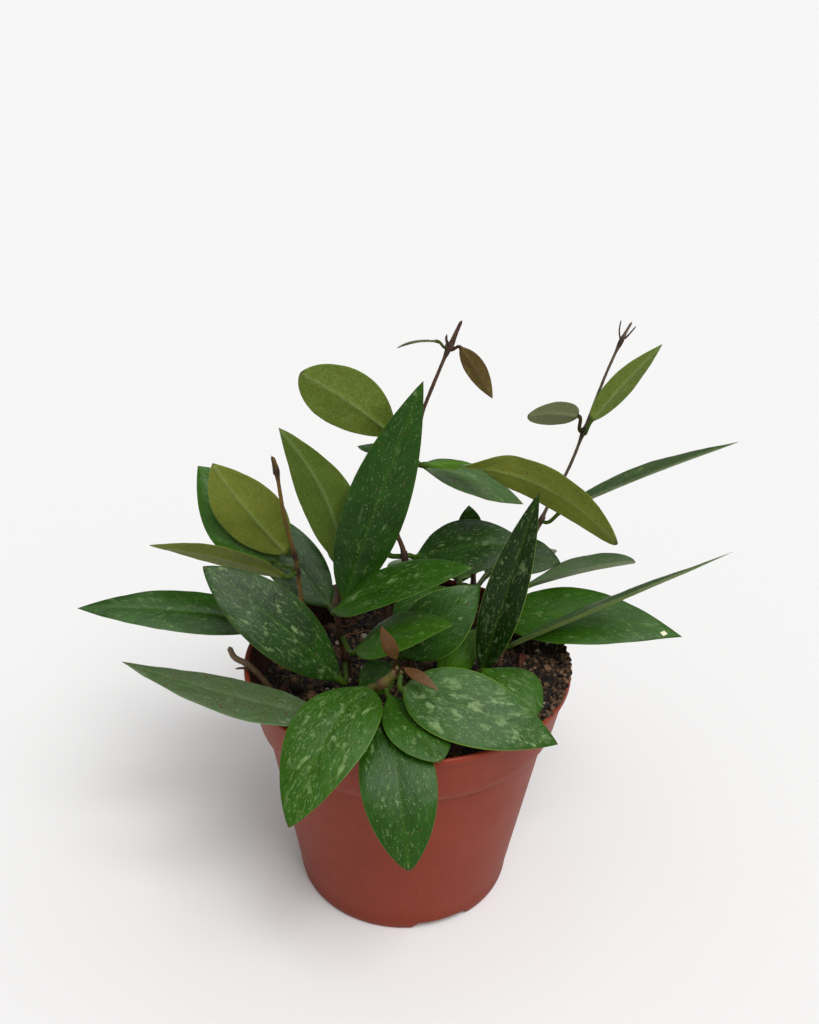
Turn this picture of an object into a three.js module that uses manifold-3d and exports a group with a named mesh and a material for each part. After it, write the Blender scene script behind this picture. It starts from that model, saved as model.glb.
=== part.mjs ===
// A young hoya (wax plant) in a 12 cm plastic nursery pot.
// Millimetres, +Z up. The origin is the centre of the pot's foot, on the surface that it stands on;
// -Y is the front and +X is the right-hand side.
import * as THREE from 'three';
import { mergeVertices } from 'three/addons/utils/BufferGeometryUtils.js';
import Module from 'manifold-3d';

const wasm = await Module();
wasm.setup();

// ---------------------------------------------------------------- driving dimensions

const pot = {
  height: 95,
  rimRadius: 60,          // outside of the rolled lip
  lipHeight: 2.6,
  lipProud: 0.9,          // how far the lip stands out from the collar
  lipRound: 0.7,
  collarHeight: 21,       // the straight band below the rim that pots stack by
  collarFootRadius: 55.2,
  collarSlope: 0.6,       // height of the step under the collar
  bodyTopRadius: 52.4,
  bodyFootRadius: 41,
  footRound: 6,           // height of the rounded bottom edge
  footInset: 1.8,         // how far that edge turns in
  wall: 1.2,
  floorThickness: 1.6,
  channelHeight: 3,       // the ring-shaped drain channel under the floor
  padRadius: 16,          // the flat middle of the floor, which stands on the surface
  padSlope: 2,            // width of the slope from there up to the channel
  footRingWidth: 2.2,
  drainHoles: 8,
  drainHoleRadius: 4,
  drainHoleCircle: 26,
  notches: 3,             // gaps in the foot ring that let the channel drain
  notchAngle: 22,         // degrees: the first notch, to the right of the front
  notchWidth: 23,
  notchHeight: 3.4,
  sides: 42,
};

const soil = {
  surface: 84,            // mean height of the peat
  crown: 2.2,             // rise towards the middle
  lean: 0.055,            // rise for each millimetre towards the right
  heap: 9.3,              // height of the heap against the wall, to the right
  heapAngle: 2,           // degrees behind the right-hand side
  heapFoot: 2,            // from the middle to where the heap begins
  lumpHeight: 0.85,
  lumpLength: 21,         // from one lump to the next
  edgeGap: 0.7,           // to the pot's round inside, whose facets come closer
  rings: 9,
  sides: 36,
};

const contactGap = 0.3;   // kept between pieces that touch
const holeSides = 12;
const stemSides = 7;
const stemStep = 6;       // length between a stem's rings
const jointSwell = 0.5;   // extra radius of a stem where leaves grow from it
const jointLength = 5;    // half length of that swelling
const stalkRadius = 1;
const stalkSteps = 3;
const stalkBend = 0.45;   // how far the stalk runs straight out before it turns to the blade
const leafSides = 8;
const bladeStations = [0.05, 0.16, 0.3, 0.46, 0.62, 0.78, 0.91];
const bladeThickness = 1.4;
const bladeShoulder = 0.7; // thickness half-way to the edge, as a share of the middle's
const usualWidest = 0.42; // how far along a blade is widest
const usualFullness = 1.7; // of a blade's outline: higher is more pointed
const twistEnd = 0.4;     // how far along a blade its twist fades out
const usualFold = 8;      // degrees that each half rises from the midrib
const edgeCurl = 0.12;    // share of the half width that the edges roll down

// ---------------------------------------------------------------- stems

// A stem runs through its points from its buried foot to its tip. `joints` are the indices of the points
// where leaves grow.
const stems = {
  left_vine: {
    radius: 0.95, tipRadius: 0.65, joints: [2, 3, 4, 6],
    points: [[-39, 18, 66], [-39, 18, 84], [-40, 19, 99], [-42, 20, 119], [-43, 20, 126], [-46, 18, 143],
      [-48, 16, 162], [-49, 15, 168]],
  },
  middle_stem: {
    radius: 1.3, tipRadius: 1.1, joints: [2, 3, 4, 5],
    points: [[-21, 3, 66], [-22, 2, 84], [-23, 2, 92], [-25, 1, 104], [-26, -1, 117], [-25, 1, 125]],
  },
  centre_vine: {
    radius: 1.1, tipRadius: 0.5, joints: [2, 4, 5, 6],
    points: [[6, 18, 66], [5, 18, 84], [-2, 18, 127], [-5, 18, 140], [0, 15, 167], [2, 14, 183],
      [11, 12, 210], [15, 12, 220]],
  },
  right_vine: {
    radius: 0.8, tipRadius: 0.4, joints: [2, 3, 4, 6, 8],
    points: [[28, 4, 66], [29, 5, 84], [31, 7, 99], [38, 15, 113], [48, 25, 140], [56, 24, 161],
      [60, 22, 177], [65, 20, 198], [69, 18, 212], [72, 18, 219]],
  },
  inner_stem: {
    radius: 1.2, tipRadius: 1, joints: [2, 3],
    points: [[2, -4, 66], [2, -5, 84], [1, -7, 94], [0, -8, 103]],
  },
  front_shoot: {
    radius: 1.8, tipRadius: 1.5, joints: [2, 3, 4, 5],
    points: [[-17, -20, 66], [-16, -22, 84], [-14, -25, 92], [-12, -28, 100], [-8, -32, 106], [-3, -34, 113]],
  },
  side_stem: {
    radius: 1.3, tipRadius: 1.1, joints: [2],
    points: [[21, -12, 66], [22, -13, 84], [24, -12, 92]],
  },
  back_stem: {
    radius: 1.3, tipRadius: 1, joints: [2, 3],
    points: [[-8, 34, 66], [-8, 34, 84], [-9, 36, 96], [-12, 38, 107]],
  },
  right_back_stem: {
    radius: 1.3, tipRadius: 1, joints: [2, 3],
    points: [[24, 34, 66], [25, 34, 84], [25, 34, 104], [24, 35, 122]],
  },
  cut_stem: {
    radius: 1.4, tipRadius: 1, joints: [],
    points: [[-46, -9, 70], [-49, -10, 84], [-52, -11, 91], [-57, -11, 97.5], [-62, -10, 100],
      [-64, -9, 104]],
  },
};

// ---------------------------------------------------------------- leaves

// A leaf grows from point `at` of its stem. Its blade runs from `from` to `to`, is `width` across and turns
// its upper side to `faces`. arch lifts the middle of the midrib, sweep bends it to the side, crest says how
// far along it is highest, widest how far along it is broadest, fullness how round its outline is, fold
// closes its two halves, and twist (degrees) turns its base about the midrib.
const leaves = {
  left_vine_leaf_1: { on: 'left_vine', at: 2, from: [-50, 8, 103], to: [-118, -5, 116], width: 20,
    faces: [0, -0.35, 1], arch: 3 },
  left_vine_leaf_2: { on: 'left_vine', at: 3, from: [-51, 27, 119], to: [-81, 42, 151], width: 28,
    faces: [0.3, -0.9, 0.4], arch: 2 },
  left_vine_leaf_3: { on: 'left_vine', at: 4, from: [-46, 24, 124], to: [-71, 19, 163], width: 25,
    faces: [-0.1, 1, 0.2], arch: 2, sweep: 2, widest: 0.45 },
  left_vine_leaf_4: { on: 'left_vine', at: 3, from: [-46, 14, 120], to: [-94, 10, 134], width: 18,
    faces: [0.1, 1.3, 1], arch: 2 },

  middle_stem_leaf_1: { on: 'middle_stem', at: 4, from: [-30.5, 21.5, 103], to: [-66, 54, 129], width: 22,
    faces: [0.3, -0.8, 0.6], arch: 2 },
  middle_stem_leaf_2: { on: 'middle_stem', at: 4, from: [-23, -3, 121], to: [3, 6, 201], width: 22,
    faces: [0.1, -1, 0.3], arch: 3, sweep: -1 },
  middle_stem_leaf_3: { on: 'middle_stem', at: 5, from: [-23, 7, 128], to: [-44, -6, 188], width: 21,
    faces: [0.2, 1, 0], arch: 2, sweep: -4 },
  middle_stem_leaf_4: { on: 'middle_stem', at: 4, from: [-26, -8, 119], to: [21, -25, 148], width: 20,
    faces: [-0.1, -0.3, 1], arch: 4 },
  middle_stem_leaf_5: { on: 'middle_stem', at: 3, from: [-18, -13, 106], to: [15, -27, 127], width: 20,
    faces: [0, -0.3, 1], arch: 3 },
  middle_stem_leaf_6: { on: 'middle_stem', at: 2, from: [-24, -14, 94], to: [-72, -6, 135], width: 24,
    faces: [0.1, -0.75, 1], arch: 5, widest: 0.5 },

  centre_vine_leaf_1: { on: 'centre_vine', at: 5, from: [-7, 13, 178], to: [-37, 0, 205], width: 22,
    faces: [0.2, 1, -0.2], arch: 1, sweep: -1, widest: 0.55, fullness: 1.4 },
  centre_vine_leaf_2: { on: 'centre_vine', at: 4, from: [4, 13, 167], to: [67, -25, 158], width: 20,
    faces: [0.2, 1, 0.4], arch: 10, sweep: 2, crest: 0.5, widest: 0.62, twist: 100 },
  centre_vine_leaf_3: { on: 'centre_vine', at: 4, from: [4, 19, 164], to: [41, 24, 147], width: 17,
    faces: [0, -0.3, 1], arch: 2 },
  centre_vine_leaf_4: { on: 'centre_vine', at: 4, from: [-3, 18, 168], to: [-20, 30, 166], width: 12,
    faces: [0, 0, 1], arch: 1 },
  centre_vine_leaf_5: { on: 'centre_vine', at: 6, from: [7, 11, 213], to: [-6, 6, 212], width: 7,
    faces: [0, 0.3, 1], arch: 1 },
  centre_vine_leaf_6: { on: 'centre_vine', at: 6, from: [15, 11, 211], to: [26, 4, 196], width: 8,
    faces: [0.2, 1, 0.3], arch: 1 },
  centre_vine_leaf_7: { on: 'centre_vine', at: 2, from: [3, 22, 125], to: [44, 20, 132], width: 24,
    faces: [0, -0.6, 1], arch: 4 },
  centre_vine_leaf_8: { on: 'centre_vine', at: 2, from: [-9, 23, 126], to: [-38, 52, 130], width: 22,
    faces: [0, 0, 1], arch: 3 },

  right_vine_leaf_1: { on: 'right_vine', at: 2, from: [34, 14, 105], to: [99, -2, 108], width: 25,
    faces: [0, -0.5, 1], arch: 6, widest: 0.38 },
  right_vine_leaf_2: { on: 'right_vine', at: 2, from: [37, -3, 103], to: [110, -9, 147.5], width: 12,
    faces: [-0.47, 0.38, 0.79], fold: 25, widest: 0.33, fullness: 2.1 },
  right_vine_leaf_3: { on: 'right_vine', at: 3, from: [44, 18, 116], to: [84, 22, 125], width: 20,
    faces: [-0.24, 0.26, 0.94], arch: 1, widest: 0.62, fullness: 1.45, fold: 28 },
  right_vine_leaf_4: { on: 'right_vine', at: 4, from: [56, 21, 147], to: [112, 12, 179], width: 14,
    faces: [-0.47, 0.16, 0.87], arch: 1, widest: 0.38, fullness: 1.9, fold: 26 },
  right_vine_leaf_5: { on: 'right_vine', at: 6, from: [57, 20, 184], to: [39, 12, 187], width: 12,
    faces: [0, 1, 0.4], arch: 1, fullness: 0.95 },
  right_vine_leaf_6: { on: 'right_vine', at: 6, from: [62, 19, 183], to: [83, 18, 211.5], width: 12.5,
    faces: [-0.45, 1, 0.2], arch: 1, widest: 0.38, fullness: 1.65 },

  inner_stem_leaf_1: { on: 'inner_stem', at: 3, from: [-2, -15, 106], to: [25, -4, 129], width: 22,
    faces: [0.3, -0.7, 0.8], arch: 3 },
  inner_stem_leaf_2: { on: 'inner_stem', at: 3, from: [-5, 3, 108], to: [14, 14, 117], width: 16,
    faces: [0, -0.2, 1], arch: 2 },
  inner_stem_leaf_3: { on: 'inner_stem', at: 2, from: [-6, -12, 100], to: [-17, -18, 91], width: 13,
    faces: [0, -0.8, 0.6], arch: 1 },
  inner_stem_leaf_4: { on: 'inner_stem', at: 2, from: [12, -8, 93], to: [25, 3, 106], width: 14,
    faces: [0.4, -0.7, 0.6], arch: 2 },

  front_shoot_leaf_1: { on: 'front_shoot', at: 3, from: [-13, -32, 103], to: [-36, -79, 84], width: 29,
    faces: [-0.3, -0.6, 0.8], arch: 9, crest: 0.45, fullness: 1.5 },
  front_shoot_leaf_2: { on: 'front_shoot', at: 3, from: [-7, -37, 95], to: [2, -82, 70], width: 25,
    faces: [0, -0.5, 1], arch: 13, crest: 0.42, widest: 0.52, fullness: 1.6 },
  front_shoot_leaf_3: { on: 'front_shoot', at: 5, from: [-1.2, -40, 109.5], to: [50, -50.5, 96.5], width: 26,
    faces: [0.1, -0.7, 1], arch: 4, widest: 0.38, fullness: 1.55 },
  front_shoot_leaf_4: { on: 'front_shoot', at: 4, from: [-6, -35, 102.5], to: [11, -63, 98.2], width: 21,
    faces: [0.3, -0.4, 1], arch: 1, widest: 0.55, fullness: 1.6 },
  front_shoot_leaf_5: { on: 'front_shoot', at: 2, from: [-28.5, -37.5, 95.5], to: [-96, -33, 113], width: 21,
    faces: [0, 0, 1], arch: -2, widest: 0.36 },
  front_shoot_leaf_6: { on: 'front_shoot', at: 5, from: [-4, -36, 119], to: [-9, -38, 133], width: 5,
    faces: [0, -1, 0.4], arch: 1 },
  front_shoot_leaf_7: { on: 'front_shoot', at: 5, from: [-1, -39.2, 117.4], to: [10, -49, 116], width: 4,
    faces: [0, -0.6, 1], arch: 1 },

  side_stem_leaf_1: { on: 'side_stem', at: 2, from: [27, -10, 97], to: [43, -4, 166], width: 16,
    faces: [-0.3, -1, 0.2], arch: 2, fold: 25 },
  side_stem_leaf_2: { on: 'side_stem', at: 2, from: [27, -15, 100], to: [45, -35, 93], width: 25,
    faces: [0.2, -0.3, 1], arch: 3, widest: 0.46 },

  back_stem_leaf_1: { on: 'back_stem', at: 3, from: [-20, 45, 101], to: [-29, 87, 96], width: 21,
    faces: [0, 0.3, 1], arch: 4 },
  back_stem_leaf_2: { on: 'back_stem', at: 3, from: [-3, 47, 99], to: [13, 85, 83], width: 25,
    faces: [0, 0.5, 1], arch: 6 },
  back_stem_leaf_3: { on: 'back_stem', at: 2, from: [-20, 34, 96], to: [-61, 37, 101], width: 18,
    faces: [0, 0, 1], arch: 2 },
  right_back_stem_leaf_1: { on: 'right_back_stem', at: 3, from: [33, 34, 119], to: [57, 27, 121], width: 20,
    faces: [0, -0.4, 1], arch: 2 },
  right_back_stem_leaf_2: { on: 'right_back_stem', at: 3, from: [23, 39, 126], to: [22, 40, 138], width: 9,
    faces: [0, -1, 0.3], arch: 1 },
  right_back_stem_leaf_3: { on: 'right_back_stem', at: 2, from: [31, 43, 106], to: [62, 74, 100], width: 24,
    faces: [0, 0.3, 1], arch: 4 },
  right_back_stem_leaf_4: { on: 'right_back_stem', at: 2, from: [20, 44, 102], to: [23, 84, 95], width: 24,
    faces: [0, 0.4, 1], arch: 5 },
};

// ---------------------------------------------------------------- geometry helpers

const vec = (p) => new THREE.Vector3(p[0], p[1], p[2]);

// A closed body through rings of points. A ring of one point ends the body in a tip; the other end rings
// are closed by a fan.
function loft(rings) {
  const positions = [];
  const faces = [];
  const starts = rings.map((ring) => {
    const start = positions.length / 3;
    ring.forEach((p) => positions.push(p.x, p.y, p.z));
    return start;
  });
  const n = rings[0].length;
  for (let j = 2; j < n; j += 1) {
    faces.push(starts[0], starts[0] + j, starts[0] + j - 1);
  }
  for (let i = 0; i + 1 < rings.length; i += 1) {
    const a = starts[i];
    const b = starts[i + 1];
    for (let j = 0; j < n; j += 1) {
      const k = (j + 1) % n;
      if (rings[i + 1].length === 1) {
        faces.push(a + j, a + k, b);
      } else {
        faces.push(a + j, a + k, b + k, a + j, b + k, b + j);
      }
    }
  }
  const last = rings.length - 1;
  if (rings[last].length > 1) {
    for (let j = 2; j < n; j += 1) {
      faces.push(starts[last], starts[last] + j - 1, starts[last] + j);
    }
  }
  const geometry = new THREE.BufferGeometry();
  geometry.setAttribute('position', new THREE.Float32BufferAttribute(positions, 3));
  geometry.setIndex(faces);
  return geometry;
}

// A round ring about a point, square to a direction.
function roundRing(centre, up, side, radius, sides) {
  return Array.from({ length: sides }, (_, j) => {
    const a = (2 * Math.PI * j) / sides;
    return centre.clone()
      .addScaledVector(side, -Math.cos(a) * radius)
      .addScaledVector(up, Math.sin(a) * radius);
  });
}

function stemCurve(stem) {
  return new THREE.CatmullRomCurve3(stem.points.map(vec), false, 'centripetal');
}

// The stem's radius at a place on its curve, `u` of the way along, with a swelling at each joint.
function stemRadius(stem, u, place) {
  let radius = THREE.MathUtils.lerp(stem.radius, stem.tipRadius, u);
  stem.joints.forEach((index) => {
    const d = place.distanceTo(vec(stem.points[index])) / jointLength;
    radius += jointSwell * Math.exp(-2 * d * d);
  });
  return radius;
}

// A stem, or with `grow` the hole that it needs in the peat.
function stemGeometry(stem, grow = 0) {
  const curve = stemCurve(stem);
  const steps = Math.max(4, Math.round(curve.getLength() / stemStep));
  const frames = curve.computeFrenetFrames(steps, false);
  const rings = [];
  for (let i = 0; i <= steps; i += 1) {
    const place = curve.getPointAt(i / steps);
    const radius = stemRadius(stem, i / steps, place) + grow;
    if (i === 0) {
      place.addScaledVector(frames.tangents[0], -grow);
    }
    rings.push(roundRing(place, frames.normals[i], frames.binormals[i], radius, stemSides));
  }
  return loft(rings);
}

// Where a leaf meets its stem: the joint's place, the stem's direction and its radius there.
function jointOf(stem, index) {
  const curve = stemCurve(stem);
  const spans = stem.points.length - 1;
  const perSpan = 20;
  const lengths = curve.getLengths(spans * perSpan);
  const u = lengths[index * perSpan] / lengths[spans * perSpan];
  const place = vec(stem.points[index]);
  return { place, direction: curve.getTangent(index / spans), radius: stemRadius(stem, u, place) };
}

// ---------------------------------------------------------------- one leaf

// The outline of a blade: 0 at its base and tip, 1 at its widest place.
function bladeShape(t, widest, fullness) {
  const before = (t / widest) ** (widest * fullness);
  const after = ((1 - t) / (1 - widest)) ** ((1 - widest) * fullness);
  return before * after;
}

function leafGeometry(leaf) {
  const joint = jointOf(stems[leaf.on], leaf.at);
  const base = vec(leaf.from);
  const tip = vec(leaf.to);
  const length = base.distanceTo(tip);
  const chord = tip.clone().sub(base).normalize();
  const up = vec(leaf.faces).projectOnPlane(chord).normalize();
  const side = new THREE.Vector3().crossVectors(chord, up);
  const crestPower = Math.log(0.5) / Math.log(leaf.crest ?? 0.5);
  const fold = THREE.MathUtils.degToRad(leaf.fold ?? usualFold);
  const twist = THREE.MathUtils.degToRad(leaf.twist ?? 0);

  const midrib = (t) => {
    const w = t ** crestPower;
    const bow = 4 * w * (1 - w);
    return base.clone().addScaledVector(chord, length * t)
      .addScaledVector(up, (leaf.arch ?? 0) * bow).addScaledVector(side, (leaf.sweep ?? 0) * bow);
  };
  const frameAt = (t) => {
    const along = midrib(Math.min(1, t + 0.01)).sub(midrib(Math.max(0, t - 0.01))).normalize();
    const turn = twist * (1 - THREE.MathUtils.smoothstep(t, 0, twistEnd));
    const lift = up.clone().projectOnPlane(along).normalize().applyAxisAngle(along, turn);
    return { along, lift, across: new THREE.Vector3().crossVectors(along, lift) };
  };

  // The stalk leaves the stem square to it and turns smoothly into the blade.
  const out = base.clone().sub(joint.place).projectOnPlane(joint.direction).normalize();
  const start = joint.place.clone().addScaledVector(out, joint.radius + contactGap);
  const bend = start.clone().addScaledVector(out, start.distanceTo(base) * stalkBend);
  const stalk = new THREE.QuadraticBezierCurve3(start, bend, base);
  const stalkSize = Math.min(stalkRadius, 0.25 + leaf.width / 30);
  const rings = [];
  let lift = frameAt(0).lift;
  for (let i = stalkSteps; i >= 0; i -= 1) {
    const along = i === stalkSteps ? frameAt(0).along : stalk.getTangent(i / stalkSteps);
    lift = lift.clone().projectOnPlane(along).normalize();
    const across = new THREE.Vector3().crossVectors(along, lift);
    rings.unshift(roundRing(stalk.getPoint(i / stalkSteps), lift, across, stalkSize, leafSides));
  }
  const middle = Math.min(bladeThickness, 0.5 + leaf.width / 25) / 2;
  const shoulder = middle * bladeShoulder;
  bladeStations.forEach((t) => {
    const frame = frameAt(t);
    const half = (leaf.width / 2) * bladeShape(t, leaf.widest ?? usualWidest, leaf.fullness ?? usualFullness);
    const place = (v, thickness) => midrib(t)
      .addScaledVector(frame.across, v * half * Math.cos(fold))
      .addScaledVector(frame.lift, half * (Math.sin(fold) * Math.abs(v) - edgeCurl * v * v) + thickness);
    rings.push([
      place(-1, 0), place(-0.5, shoulder), place(0, middle), place(0.5, shoulder),
      place(1, 0), place(0.5, -shoulder), place(0, -middle), place(-0.5, -shoulder),
    ]);
  });
  rings.push([tip]);
  return loft(rings);
}

// ---------------------------------------------------------------- pot and soil

function solidOf(geometry) {
  const bare = geometry.clone();
  bare.deleteAttribute('normal');
  bare.deleteAttribute('uv');
  const merged = mergeVertices(bare, 1e-4);
  const triVerts = merged.index
    ? new Uint32Array(merged.index.array)
    : Uint32Array.from({ length: merged.attributes.position.count }, (_, i) => i);
  const vertProperties = new Float32Array(merged.attributes.position.array);
  return new wasm.Manifold(new wasm.Mesh({ numProp: 3, vertProperties, triVerts }));
}

function geometryOf(solid) {
  const mesh = solid.getMesh();
  const geometry = new THREE.BufferGeometry();
  geometry.setAttribute('position', new THREE.Float32BufferAttribute(mesh.vertProperties, 3));
  geometry.setIndex(new THREE.Uint32BufferAttribute(mesh.triVerts, 1));
  return geometry;
}

// Turns a profile of [radius, height] pairs about the Z axis.
function turned(profile, sides) {
  const points = profile.map(([r, z]) => new THREE.Vector2(r, z));
  return new THREE.LatheGeometry(points, sides).rotateX(Math.PI / 2);
}

const collarFoot = pot.height - pot.collarHeight;
const corner = pot.footRound + 2; // height of the inside corner between floor and wall
const footRingInner = pot.bodyFootRadius - pot.footInset - pot.footRingWidth;

// The inside radius of the pot at a height above the floor.
function insideRadius(z) {
  if (z > collarFoot) {
    const t = (z - collarFoot) / pot.collarHeight;
    return THREE.MathUtils.lerp(pot.collarFootRadius, pot.rimRadius - pot.lipProud, t) - pot.wall;
  }
  const t = (z - pot.footRound) / (collarFoot - pot.footRound);
  return THREE.MathUtils.lerp(pot.bodyFootRadius, pot.bodyTopRadius, Math.max(0, t)) - pot.wall;
}

function potGeometry() {
  const collarTop = pot.height - pot.lipHeight;
  const rim = pot.rimRadius;
  const floorTop = pot.channelHeight + pot.floorThickness;
  const round = [0, 30, 60, 90].map((degrees) => {
    const a = THREE.MathUtils.degToRad(degrees);
    const r = pot.bodyFootRadius - pot.footInset * (1 - Math.sin(a));
    return [r, pot.footRound * (1 - Math.cos(a))];
  });
  const profile = [
    [0, 0],
    [pot.padRadius, 0],
    [pot.padRadius + pot.padSlope, pot.channelHeight],
    [footRingInner, pot.channelHeight],
    [footRingInner, 0],
    ...round,
    [pot.bodyTopRadius, collarFoot],
    [pot.collarFootRadius, collarFoot + pot.collarSlope],
    [rim - pot.lipProud, collarTop],
    [rim, collarTop],
    [rim, pot.height - pot.lipRound],
    [rim - pot.lipRound, pot.height],
    [insideRadius(pot.height), pot.height],
    [insideRadius(collarFoot + pot.wall), collarFoot + pot.wall + pot.collarSlope],
    [insideRadius(collarFoot), collarFoot + pot.collarSlope],
    [insideRadius(corner), corner],
    [footRingInner + pot.wall, floorTop],
    [pot.padRadius + 2 * pot.padSlope, floorTop],
    [pot.padRadius + pot.padSlope / 2, pot.floorThickness],
    [0, pot.floorThickness],
  ];
  let body = solidOf(turned(profile, pot.sides));
  for (let i = 0; i < pot.drainHoles; i += 1) {
    const a = (2 * Math.PI * (i + 0.5)) / pot.drainHoles;
    const hole = new THREE.CylinderGeometry(pot.drainHoleRadius, pot.drainHoleRadius, floorTop, holeSides)
      .rotateX(Math.PI / 2)
      .translate(pot.drainHoleCircle * Math.cos(a), pot.drainHoleCircle * Math.sin(a), floorTop);
    body = body.subtract(solidOf(hole));
  }
  for (let i = 0; i < pot.notches; i += 1) {
    const a = THREE.MathUtils.degToRad(pot.notchAngle - 90) + (2 * Math.PI * i) / pot.notches;
    const slot = new THREE.BoxGeometry(4 * pot.footRingWidth, pot.notchWidth, 2 * pot.notchHeight)
      .translate(pot.bodyFootRadius, 0, 0).rotateZ(a);
    body = body.subtract(solidOf(slot));
  }
  return geometryOf(body);
}

// The peat's surface: a low crown with lumps in it, from crossing waves, and a heap against the wall.
function peatHeight(x, y) {
  const wave = (2 * Math.PI) / soil.lumpLength;
  const lumps = Math.sin(wave * x + 1) * Math.cos(wave * y) + 0.5 * Math.sin(2 * wave * (x - y));
  const inside = insideRadius(soil.surface);
  const edge = Math.hypot(x, y) / inside;
  const a = THREE.MathUtils.degToRad(soil.heapAngle);
  const towards = x * Math.cos(a) + y * Math.sin(a);
  const heap = soil.heap * THREE.MathUtils.smoothstep(towards, soil.heapFoot, inside);
  return soil.surface + soil.crown * (0.5 - edge * edge) + soil.lean * x + heap + soil.lumpHeight * lumps;
}

function soilGeometry() {
  const seat = pot.channelHeight + pot.floorThickness + contactGap;
  const wallAt = (z) => insideRadius(z) - soil.edgeGap;
  const ringAt = (radius, heightAt) => Array.from({ length: soil.sides }, (_, j) => {
    const a = (2 * Math.PI * j) / soil.sides;
    const x = radius * Math.cos(a);
    const y = radius * Math.sin(a);
    return new THREE.Vector3(x, y, heightAt(x, y));
  });
  const underside = [
    [pot.padRadius, pot.floorThickness + contactGap],
    [pot.padRadius + 2 * pot.padSlope, seat],
    [footRingInner, seat],
    [wallAt(corner), corner + contactGap],
    [wallAt(collarFoot) - soil.edgeGap, collarFoot],
    [wallAt(collarFoot + pot.wall) - soil.edgeGap, collarFoot + pot.wall + 2 * pot.collarSlope],
  ];
  const rings = underside.map(([radius, height]) => ringAt(radius, () => height));
  const outer = wallAt(soil.surface - soil.crown - soil.lean * pot.rimRadius);
  for (let i = soil.rings; i > 0; i -= 1) {
    rings.push(ringAt((outer * i) / soil.rings, peatHeight));
  }
  rings.push([new THREE.Vector3(0, 0, peatHeight(0, 0))]);
  let body = solidOf(loft(rings));
  Object.values(stems).forEach((stem) => {
    body = body.subtract(solidOf(stemGeometry(stem, contactGap)));
  });
  return geometryOf(body);
}

// ---------------------------------------------------------------- assembly

const finish = (color, roughness) => new THREE.MeshStandardMaterial({ color, roughness, metalness: 0 });
const terracottaPlastic = finish(0x9c4a35, 0.55);
const peat = finish(0x2b1d15, 0.95);
const bark = finish(0x3b2418, 0.7);
const greenStem = finish(0x5c5a2a, 0.5);
const matureLeaf = finish(0x2f5a24, 0.35);
const youngLeaf = finish(0x5b4a33, 0.5);

function piece(name, geometry, material) {
  const mesh = new THREE.Mesh(geometry, material);
  mesh.name = name;
  return mesh;
}

const plant = new THREE.Group();
plant.name = 'potted_hoya';
plant.add(piece('pot', potGeometry(), terracottaPlastic));
plant.add(piece('soil', soilGeometry(), peat));
Object.entries(stems).forEach(([name, stem]) => {
  plant.add(piece(name, stemGeometry(stem, 0), name === 'front_shoot' ? greenStem : bark));
});
Object.entries(leaves).forEach(([name, leaf]) => {
  plant.add(piece(name, leafGeometry(leaf), leaf.width < 10 ? youngLeaf : matureLeaf));
});

export default plant;
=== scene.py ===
"""A potted hoya (wax plant): its looks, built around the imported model.

Everything is in metres, +Z up, with the origin under the middle of the pot, -Y the front. The tables of
stems and leaves are in millimetres, as the model's own are, and MM turns them into metres.
"""

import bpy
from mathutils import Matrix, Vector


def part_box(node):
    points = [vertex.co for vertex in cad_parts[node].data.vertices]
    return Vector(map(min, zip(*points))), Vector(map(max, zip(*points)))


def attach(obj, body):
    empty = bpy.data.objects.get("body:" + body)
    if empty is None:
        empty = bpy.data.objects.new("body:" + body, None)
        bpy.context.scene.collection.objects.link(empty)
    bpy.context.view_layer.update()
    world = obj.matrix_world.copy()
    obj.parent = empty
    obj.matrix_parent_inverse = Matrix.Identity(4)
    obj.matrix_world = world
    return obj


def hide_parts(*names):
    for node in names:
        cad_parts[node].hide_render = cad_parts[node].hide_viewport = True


bl_info = {
    "name": "Potted Hoya",
    "version": (1, 0, 0),
    "blender": (4, 5, 0),
    "location": "3D View > Sidebar > Hoya",
    "description": "Builds a young hoya with flecked leaves in a plastic nursery pot",
    "category": "Add Mesh",
}

import math
from dataclasses import dataclass

import bmesh
import bpy
from bpy.props import FloatProperty, FloatVectorProperty, IntProperty, PointerProperty
from mathutils import Matrix, Vector

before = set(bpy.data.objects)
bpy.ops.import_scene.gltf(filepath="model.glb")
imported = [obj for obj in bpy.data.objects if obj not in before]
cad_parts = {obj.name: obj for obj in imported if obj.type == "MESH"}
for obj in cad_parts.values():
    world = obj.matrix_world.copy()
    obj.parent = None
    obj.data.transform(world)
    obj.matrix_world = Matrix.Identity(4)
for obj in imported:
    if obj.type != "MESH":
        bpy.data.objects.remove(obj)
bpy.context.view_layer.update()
POT_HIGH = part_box("pot")[1]

MM = 0.001
ROOT = "root"
WELD = 0.01 * MM            # points nearer than this become one


def srgb(*channels):
    """A colour given as 0 to 255 on a screen, as the linear colour that materials use."""
    shares = [channel / 255 for channel in channels]
    return tuple(s / 12.92 if s <= 0.04045 else ((s + 0.055) / 1.055) ** 2.4 for s in shares)


def size(name, description, millimetres):
    return FloatProperty(
        name=name, description=description, default=millimetres * MM, min=0, unit="LENGTH",
    )


def share(name, description, default):
    return FloatProperty(
        name=name, description=description, default=default, min=0, max=1, subtype="FACTOR",
    )


def angle(name, description, degrees):
    return FloatProperty(
        name=name, description=description, default=math.radians(degrees), subtype="ANGLE", unit="ROTATION",
    )


def amount(name, description, default):
    return FloatProperty(name=name, description=description, default=default, min=0)


def colour(name, description, default):
    return FloatVectorProperty(
        name=name, description=description, default=default, min=0, max=1, size=3, subtype="COLOR",
    )


# ---------------------------------------------------------------- settings

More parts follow.
